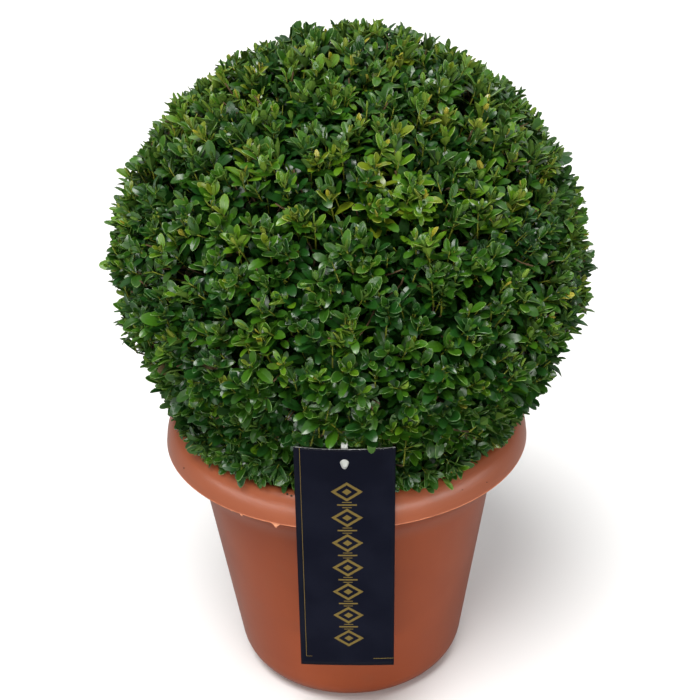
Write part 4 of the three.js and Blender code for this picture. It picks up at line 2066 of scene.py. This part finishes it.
    def _leaf_pairs(self, layer: ShootLayer, tips: Array, heading: Array, tone: Array) -> None:
        """Sets opposite pairs of leaves down each shoot, each pair square to the next.

        Args:
            layer: the layer.
            tips: tip of each shoot.
            heading: its direction.
            tone: how fresh it is.
        """
        count = len(tips)
        rng = self.rng
        side = across(heading, rng)
        over = np.cross(heading, side)
        pairs = rng.integers(layer.pairs[0], layer.pairs[1] + 1, count)
        vigour = rng.normal(1.0, 0.12, count)
        openness = rng.normal(1.0, 0.2, count)
        ages = self._spray_ages(tips, layer, tone)
        marks = self._marks(tips) if layer.full_pairs else np.full(count, -1)
        down = np.full(count, 0.4)
        for number in range(layer.pairs[1]):
            pair = self.leaf_pairs[number]
            spread = math.radians(pair.spread)
            down = down + pair.step * vigour * rng.normal(1.0, 0.16, count)
            alive = pairs > number
            turn = number * math.pi / 2 + rng.normal(scale=0.2, size=count)
            for flip in (0.0, math.pi):
                angle = turn + flip + rng.normal(scale=0.14, size=count)
                out = np.cos(angle)[:, None] * side + np.sin(angle)[:, None] * over
                lean = (spread * openness + rng.normal(scale=0.17, size=count))[:, None]
                along = unit(np.cos(lean) * heading + np.sin(lean) * out + 0.08 * UP)
                facing = np.sin(lean) * heading - np.cos(lean) * out
                facing = facing + 0.3 * UP + rng.normal(scale=0.26, size=facing.shape)
                normal = unit(facing - np.sum(facing * along, axis=1, keepdims=True) * along)
                young = number == 0
                batch = LeafBatch(
                    base=tips - heading * (down * MM)[:, None] + out * 0.5 * MM,
                    along=along,
                    normal=normal,
                    length=layer.leaf * MM * pair.size * vigour * rng.normal(1.0, 0.12, count),
                    width=rng.normal(1.0, 0.1, count) * (0.92 if young else 1.03),
                    fold=rng.normal(0.55 if young else 0.32, 0.16, count),
                    arch=rng.normal(-0.1 if young else 0.4, 0.32, count),
                    age=self._aged(ages, marks, tips, number),
                )
                keep = alive & self._clear(batch)
                detail = self._detail(layer, number)
                self.leaves[detail].append(batch.picked(keep))

    def _aged(self, ages: Array, marks: Array, tips: Array, number: int) -> Array:
        """Ages of one leaf of a pair on each shoot: tips may be younger, old pairs a step darker or dead.

        Args:
            ages: age of each spray.
            marks: ages given in the list of marked tips.
            tips: the tips.
            number: the pair's number from the tip.

        Returns:
            Numbers in AGES.
        """
        draw = self.rng.uniform(size=len(ages))
        if number == 0:
            # tips higher in the ball turn younger: partly fresh growth, partly painted light on the top
            shift = np.where(draw < 0.34, 1, 0) + np.where(draw < 0.04 + 0.17 * self._level(tips), 1, 0)
        else:
            shift = np.where((number > 1) & (draw > 0.62), -1, 0)
        oldest, youngest = AGES.index(LeafAge.COOL), AGES.index(LeafAge.YELLOW)
        moved = np.clip(ages + shift, oldest, youngest)
        moved = np.where(ages == AGES.index(LeafAge.INNER), ages, moved)
        if number > 1:
            moved = np.where(draw < self.dead_share, AGES.index(LeafAge.DRY), moved)
        return np.where((marks >= 0) & (number == 0), marks, moved)

    @staticmethod
    def _detail(layer: ShootLayer, number: int) -> BladeDetail:
        """How finely the leaves of a pair are made.

        Args:
            layer: the layer.
            number: the pair's number from the tip.

        Returns:
            The detail.
        """
        if number < layer.full_pairs:
            return BladeDetail.FULL
        if number < layer.plain_pairs:
            return BladeDetail.PLAIN
        return BladeDetail.CORE

    def _clear(self, batch: LeafBatch) -> Array:
        """Whether each leaf is clear of the pot and the tag.

        Args:
            batch: the leaves.

        Returns:
            A mask.
        """
        probes = batch.probes()
        radius = np.hypot(probes[..., 0], probes[..., 1])
        in_rim = probes[..., 2] < self.pot.rim_top(radius) + 0.6 * MM
        low = probes[..., 2] < self.pot.crest_height - 10 * MM
        hidden = self.tag.covers(probes, self.view_slope)
        return ~np.any(in_rim | low | hidden, axis=1)

    def _cut_stubs(self, parents: Limbs) -> None:
        """Bare twigs that the shears cut through, just inside the outline.

        Args:
            parents: limbs that they spring from.
        """
        directions = spiral_directions(self.stubs, 0.12, self.rng)
        hits = self.outline.reach(directions)
        open_air = hits[:, 2] > self.pot.crest_height + 12 * MM
        directions, hits = directions[open_air], hits[open_air]
        ends = hits - directions * self.rng.uniform(5, 14, len(hits))[:, None] * MM
        heading = unit(0.7 * directions + 0.4 * UP + self.rng.normal(scale=0.25, size=directions.shape))
        parent = parents.nearest(ends - heading * 34 * MM)
        start, along, _ = parents.joint(parent, self.rng.uniform(0.4, 1.0, len(ends)))
        stations, sides = 6, 6
        lines = bezier(start, start + along * 8 * MM, ends - heading * 16 * MM, ends, stations)
        radii = np.broadcast_to(np.linspace(*self.stub_radii, stations), lines.shape[:2])
        clear = ~self.tag.covers(lines[:, -1], self.view_slope)
        self.wood.add(*tubes(lines[clear], radii[clear], sides, self.rng), Wood.CUT.value)

    # --- pieces ---

    def _bark_mesh(self, stem: Limbs, boughs: Limbs) -> Piece:
        """Stem and main boughs with ridged bark.

        Args:
            stem: the stem.
            boughs: the boughs.

        Returns:
            The piece.
        """
        draft = MeshDraft()
        for limbs, stations, sides in ((stem, 40, 40), (boughs, 28, 20)):
            share = np.linspace(0, 1, stations)
            index = np.arange(len(limbs.lines))
            rings = [limbs.joint(index, np.full(len(index), s)) for s in share]
            lines = np.stack([r[0] for r in rings], axis=1)
            radii = np.stack([r[2] for r in rings], axis=1)
            points, triangles = tubes(lines, radii, sides, self.rng)
            centres = np.repeat(lines.reshape(-1, 3), sides, axis=0)
            out = unit(points - centres)
            ridges = [noise.noise(Vector((p[0] * 420, p[1] * 420, p[2] * 110))) for p in points]
            relief = [ridge + 0.5 * noise.noise(Vector(p) * 650) for ridge, p in zip(ridges, points)]
            draft.add(points + out * (np.array(relief) * 0.7 * MM)[:, None], triangles)
        return draft.build("stem_and_boughs", [BARK.material()])

    def _leaf_pieces(self) -> None:
        """Joins the leaves into sectors round the ball, and the deepest ones into a piece of their own."""
        materials = [m for age in AGES for m in age.value.materials()]
        drafts = [MeshDraft() for _ in range(self.sectors)]
        for detail in (BladeDetail.FULL, BladeDetail.PLAIN):
            batch = LeafBatch.joined(self.leaves[detail])
            bearing = np.arctan2(batch.base[:, 1], batch.base[:, 0] - self.outline.origin[0])
            sector = ((bearing / (2 * math.pi) + 1) % 1 * self.sectors).astype(int)
            for number, draft in enumerate(drafts):
                self._add_leaves(draft, batch.picked(sector == number), self.patterns[detail])
        for number, draft in enumerate(drafts):
            piece = draft.build(f"leaves_{number + 1}", materials)
            finish_piece(piece, "foliage", ("foliage_ball",))
        core, deepest = MeshDraft(), BladeDetail.CORE
        self._add_leaves(core, LeafBatch.joined(self.leaves[deepest]), self.patterns[deepest])
        finish_piece(core.build("leaves_inner", materials), "foliage", ("foliage_ball",))
        total = sum(draft.triangle_count() for draft in drafts) + core.triangle_count()
        LOG.info("leaves: %d triangles in all", total)

    @staticmethod
    def _add_leaves(draft: MeshDraft, batch: LeafBatch, pattern: BladePattern) -> None:
        """Adds a batch of leaves to a piece, with each part of each leaf in its own colour.

        Args:
            draft: the piece.
            batch: the leaves.
            pattern: their blade.
        """
        points = batch.shaped(pattern)
        triangles = repeated(pattern.triangles, len(batch.age), len(pattern.points))
        finish = batch.age[:, None] * len(LeafPart) + pattern.parts[None]
        draft.add(points, triangles, finish.reshape(-1))

    def _edge_leaf(self) -> None:
        """The one leaf that bends over the card's top edge."""
        top = self.tag.length / 2
        base = self.tag.to_part(np.array([[20.9 * MM, top + 8.5 * MM, 0.5 * MM]]))
        tip = self.tag.to_part(np.array([[20.6 * MM, top - 3.4 * MM, 5.6 * MM]]))
        front = self.tag.to_part(np.array([[0.0, 0.0, 1.0]])) - self.tag.to_part(np.zeros((1, 3)))
        along = unit(tip - base)
        normal = unit(front - np.sum(front * along, axis=1, keepdims=True) * along)
        self.leaves[BladeDetail.FULL].append(
            LeafBatch(
                base=base,
                along=along,
                normal=normal,
                length=np.array([12.8 * MM]),
                width=np.array([1.15]),
                fold=np.array([0.12]),
                arch=np.array([0.3]),
                age=np.array([AGES.index(LeafAge.MIDDLE)]),
            )
        )

    def build(self) -> None:
        """Grows the plant from its stem outwards and makes its pieces."""
        stem = self._stem()
        boughs = self._limb_order(self.orders[0], stem)
        finish_piece(self._bark_mesh(stem, boughs), "bark", ("stem",))
        parents = boughs
        for order in self.orders[1:]:
            parents = self._limb_order(order, parents)
            self.wood.add(*tubes(parents.lines, parents.radii, order.sides, self.rng))
        for layer in self.layers:
            self._shoots(layer, parents)
        self._skirt(self.layers[0], parents)
        self._edge_leaf()
        self._cut_stubs(parents)
        self._shoots(self.heart, parents)
        twig = PlainFinish("twig_bark", srgb(66, 55, 36), 0.7, specular=0.15)
        cut = PlainFinish("cut_twig", srgb(88, 70, 50), 0.75, specular=0.15)
        green = PlainFinish("green_shoot", srgb(122, 130, 42), 0.45, specular=0.2)
        piece = self.wood.build("twigs", [finish.material() for finish in (twig, cut, green)])
        finish_piece(piece, "bark", ("foliage_ball",))
        self._leaf_pieces()


# ---------- studio ----------


@dataclass(frozen=True)
class Sun:
    """A broad distant light: degrees from the front to the right, degrees up, power and width in degrees."""

    name: str
    bearing: float
    height: float
    strength: float
    breadth: float
    colour: Place = (1.0, 0.99, 0.98)

    def build(self) -> None:
        """Places the light so that it shines at the plant."""
        data = bpy.data.lights.new(self.name, "SUN")
        data.energy, data.angle, data.color = self.strength, math.radians(self.breadth), self.colour
        light = bpy.data.objects.new(self.name, data)
        turn, rise = math.radians(self.bearing), math.radians(self.height)
        toward = Vector((math.sin(turn) * math.cos(rise), -math.cos(turn) * math.cos(rise), math.sin(rise)))
        light.rotation_euler = (-toward).to_track_quat("-Z", "Y").to_euler()
        bpy.context.scene.collection.objects.link(light)


@dataclass
class Studio:
    """Pale floor, soft lights and the camera."""

    camera_rise: float = 0.4828
    camera_roll: float = -0.02624
    camera_distance: float = 1.2
    target: Place = (0.0, 0.0, 0.3097)
    lens: float = 71.12
    sensor: float = 36.0
    shift: float = 0.00774
    floor_size: float = 24.0
    floor_tone: Colour = (0.97, 0.97, 0.97, 1.0)
    floor_bounce: Colour = (0.33, 0.33, 0.33, 1.0)
    world_low: float = 0.12
    world_high: float = 0.42
    window: float = 11.0
    backdrop: float = 0.9
    air: Colour = (1.0, 0.99, 0.98, 1.0)
    # where the surroundings change, as the height or depth of a direction of length one
    dome_rise: Pair = (-0.1, 1.0)
    window_foot: Pair = (0.01, 0.06)
    window_head: Pair = (0.1, 0.16)
    window_ends: Pair = (0.2, -0.4)
    suns: tuple[Sun, ...] = (
        Sun("high", -18, 66, 2.76, 28, (1.0, 0.99, 0.97)),
        Sun("front", -6, 32, 0.15, 20),
        Sun("left", -75, 46, 0.02, 26),
        Sun("right", 66, 46, 0.02, 30, (0.97, 0.985, 1.0)),
        Sun("behind", 168, 40, 0.5, 60, (1.0, 1.0, 1.0)),
    )

    def _camera(self) -> None:
        """The camera, looking down on the plant from the front."""
        data = bpy.data.cameras.new("camera")
        data.lens, data.sensor_width, data.shift_x = self.lens, self.sensor, self.shift
        data.clip_start, data.clip_end = 0.05, 60.0
        camera = bpy.data.objects.new("camera", data)
        back = Vector((0, -math.cos(self.camera_rise), math.sin(self.camera_rise)))
        upright = back.to_track_quat("Z", "Y").to_matrix().to_4x4()
        place = Matrix.Translation(Vector(self.target) + back * self.camera_distance)
        camera.matrix_world = place @ upright @ Matrix.Rotation(self.camera_roll, 4, "Z")
        bpy.context.scene.collection.objects.link(camera)
        bpy.context.scene.camera = camera

    def _floor(self) -> None:
        """A wide pale floor."""
        half = self.floor_size / 2
        mesh = bpy.data.meshes.new("floor")
        corners = [(-half, -half, 0), (half, -half, 0), (half, half, 0), (-half, half, 0)]
        mesh.from_pydata(corners, [], [(0, 1, 2, 3)])
        bench = MaterialBench("floor_paper")
        seen = bench.node("ShaderNodeLightPath").outputs["Is Camera Ray"]
        bench.link(bench.mix(seen, self.floor_bounce, self.floor_tone), bench.shader.inputs["Base Color"])
        bench.set(roughness=0.9, specular_ior_level=0.1)
        floor = placed("floor", mesh, [bench.material])

    def _world(self) -> None:
        """White surroundings: brighter overhead than at the horizon, with one long low window in front."""
        world = bpy.data.worlds.new("surroundings")
        bpy.context.scene.world = world
        world.use_nodes = True
        nodes, link = world.node_tree.nodes, world.node_tree.links.new
        place, split = nodes.new("ShaderNodeTexCoord"), nodes.new("ShaderNodeSeparateXYZ")
        link(place.outputs["Generated"], split.inputs[0])

        def ramp(axis: str, span: Pair, low: float, high: float) -> Socket:
            """A smooth step along one axis of the surroundings."""
            node = nodes.new("ShaderNodeMapRange")
            node.interpolation_type = "SMOOTHSTEP"
            values = (*span, low, high)
            for label, value in zip(("From Min", "From Max", "To Min", "To Max"), values):
                node.inputs[label].default_value = value
            link(split.outputs[axis], node.inputs["Value"])
            return node.outputs["Result"]

        both = nodes.new("ShaderNodeMath")
        both.operation = "MULTIPLY"
        link(ramp("Z", self.window_foot, 0.0, self.window), both.inputs[0])
        link(ramp("Z", self.window_head, 1.0, 0.0), both.inputs[1])
        sum_up = nodes.new("ShaderNodeMath")
        sum_up.operation = "MULTIPLY_ADD"
        link(both.outputs[0], sum_up.inputs[0])
        link(ramp("Y", self.window_ends, 0.0, 1.0), sum_up.inputs[1])
        link(ramp("Z", self.dome_rise, self.world_low, self.world_high), sum_up.inputs[2])
        seen, rays = nodes.new("ShaderNodeMix"), nodes.new("ShaderNodeLightPath")
        link(rays.outputs["Is Camera Ray"], seen.inputs[0])
        link(sum_up.outputs[0], seen.inputs[2])
        seen.inputs[3].default_value = self.backdrop
        link(seen.outputs[0], nodes["Background"].inputs["Strength"])
        nodes["Background"].inputs["Color"].default_value = self.air

    def build(self) -> None:
        """Builds the studio."""
        self._camera()
        self._floor()
        self._world()
        for sun in self.suns:
            sun.build()
        bpy.context.scene.view_settings.view_transform = "Standard"


# ---------- the whole part ----------


def main() -> None:
    """Builds the studio, pot, potting mix, tag and plant in order."""
    logging.basicConfig(level=logging.INFO, format="%(name)s %(message)s")
    Studio().build()
    pot = Pot()
    pot.build()
    MouldingFlash(pot.lip_radius, pot.lip_height).build(np.random.default_rng(SEED + 2))
    PottingMix().build(pot, np.random.default_rng(SEED + 1))
    tag = HangTag()
    tag.build()
    BoxPlant(ShearedOutline(), pot, tag).build()


if __name__ == "__main__":
    main()
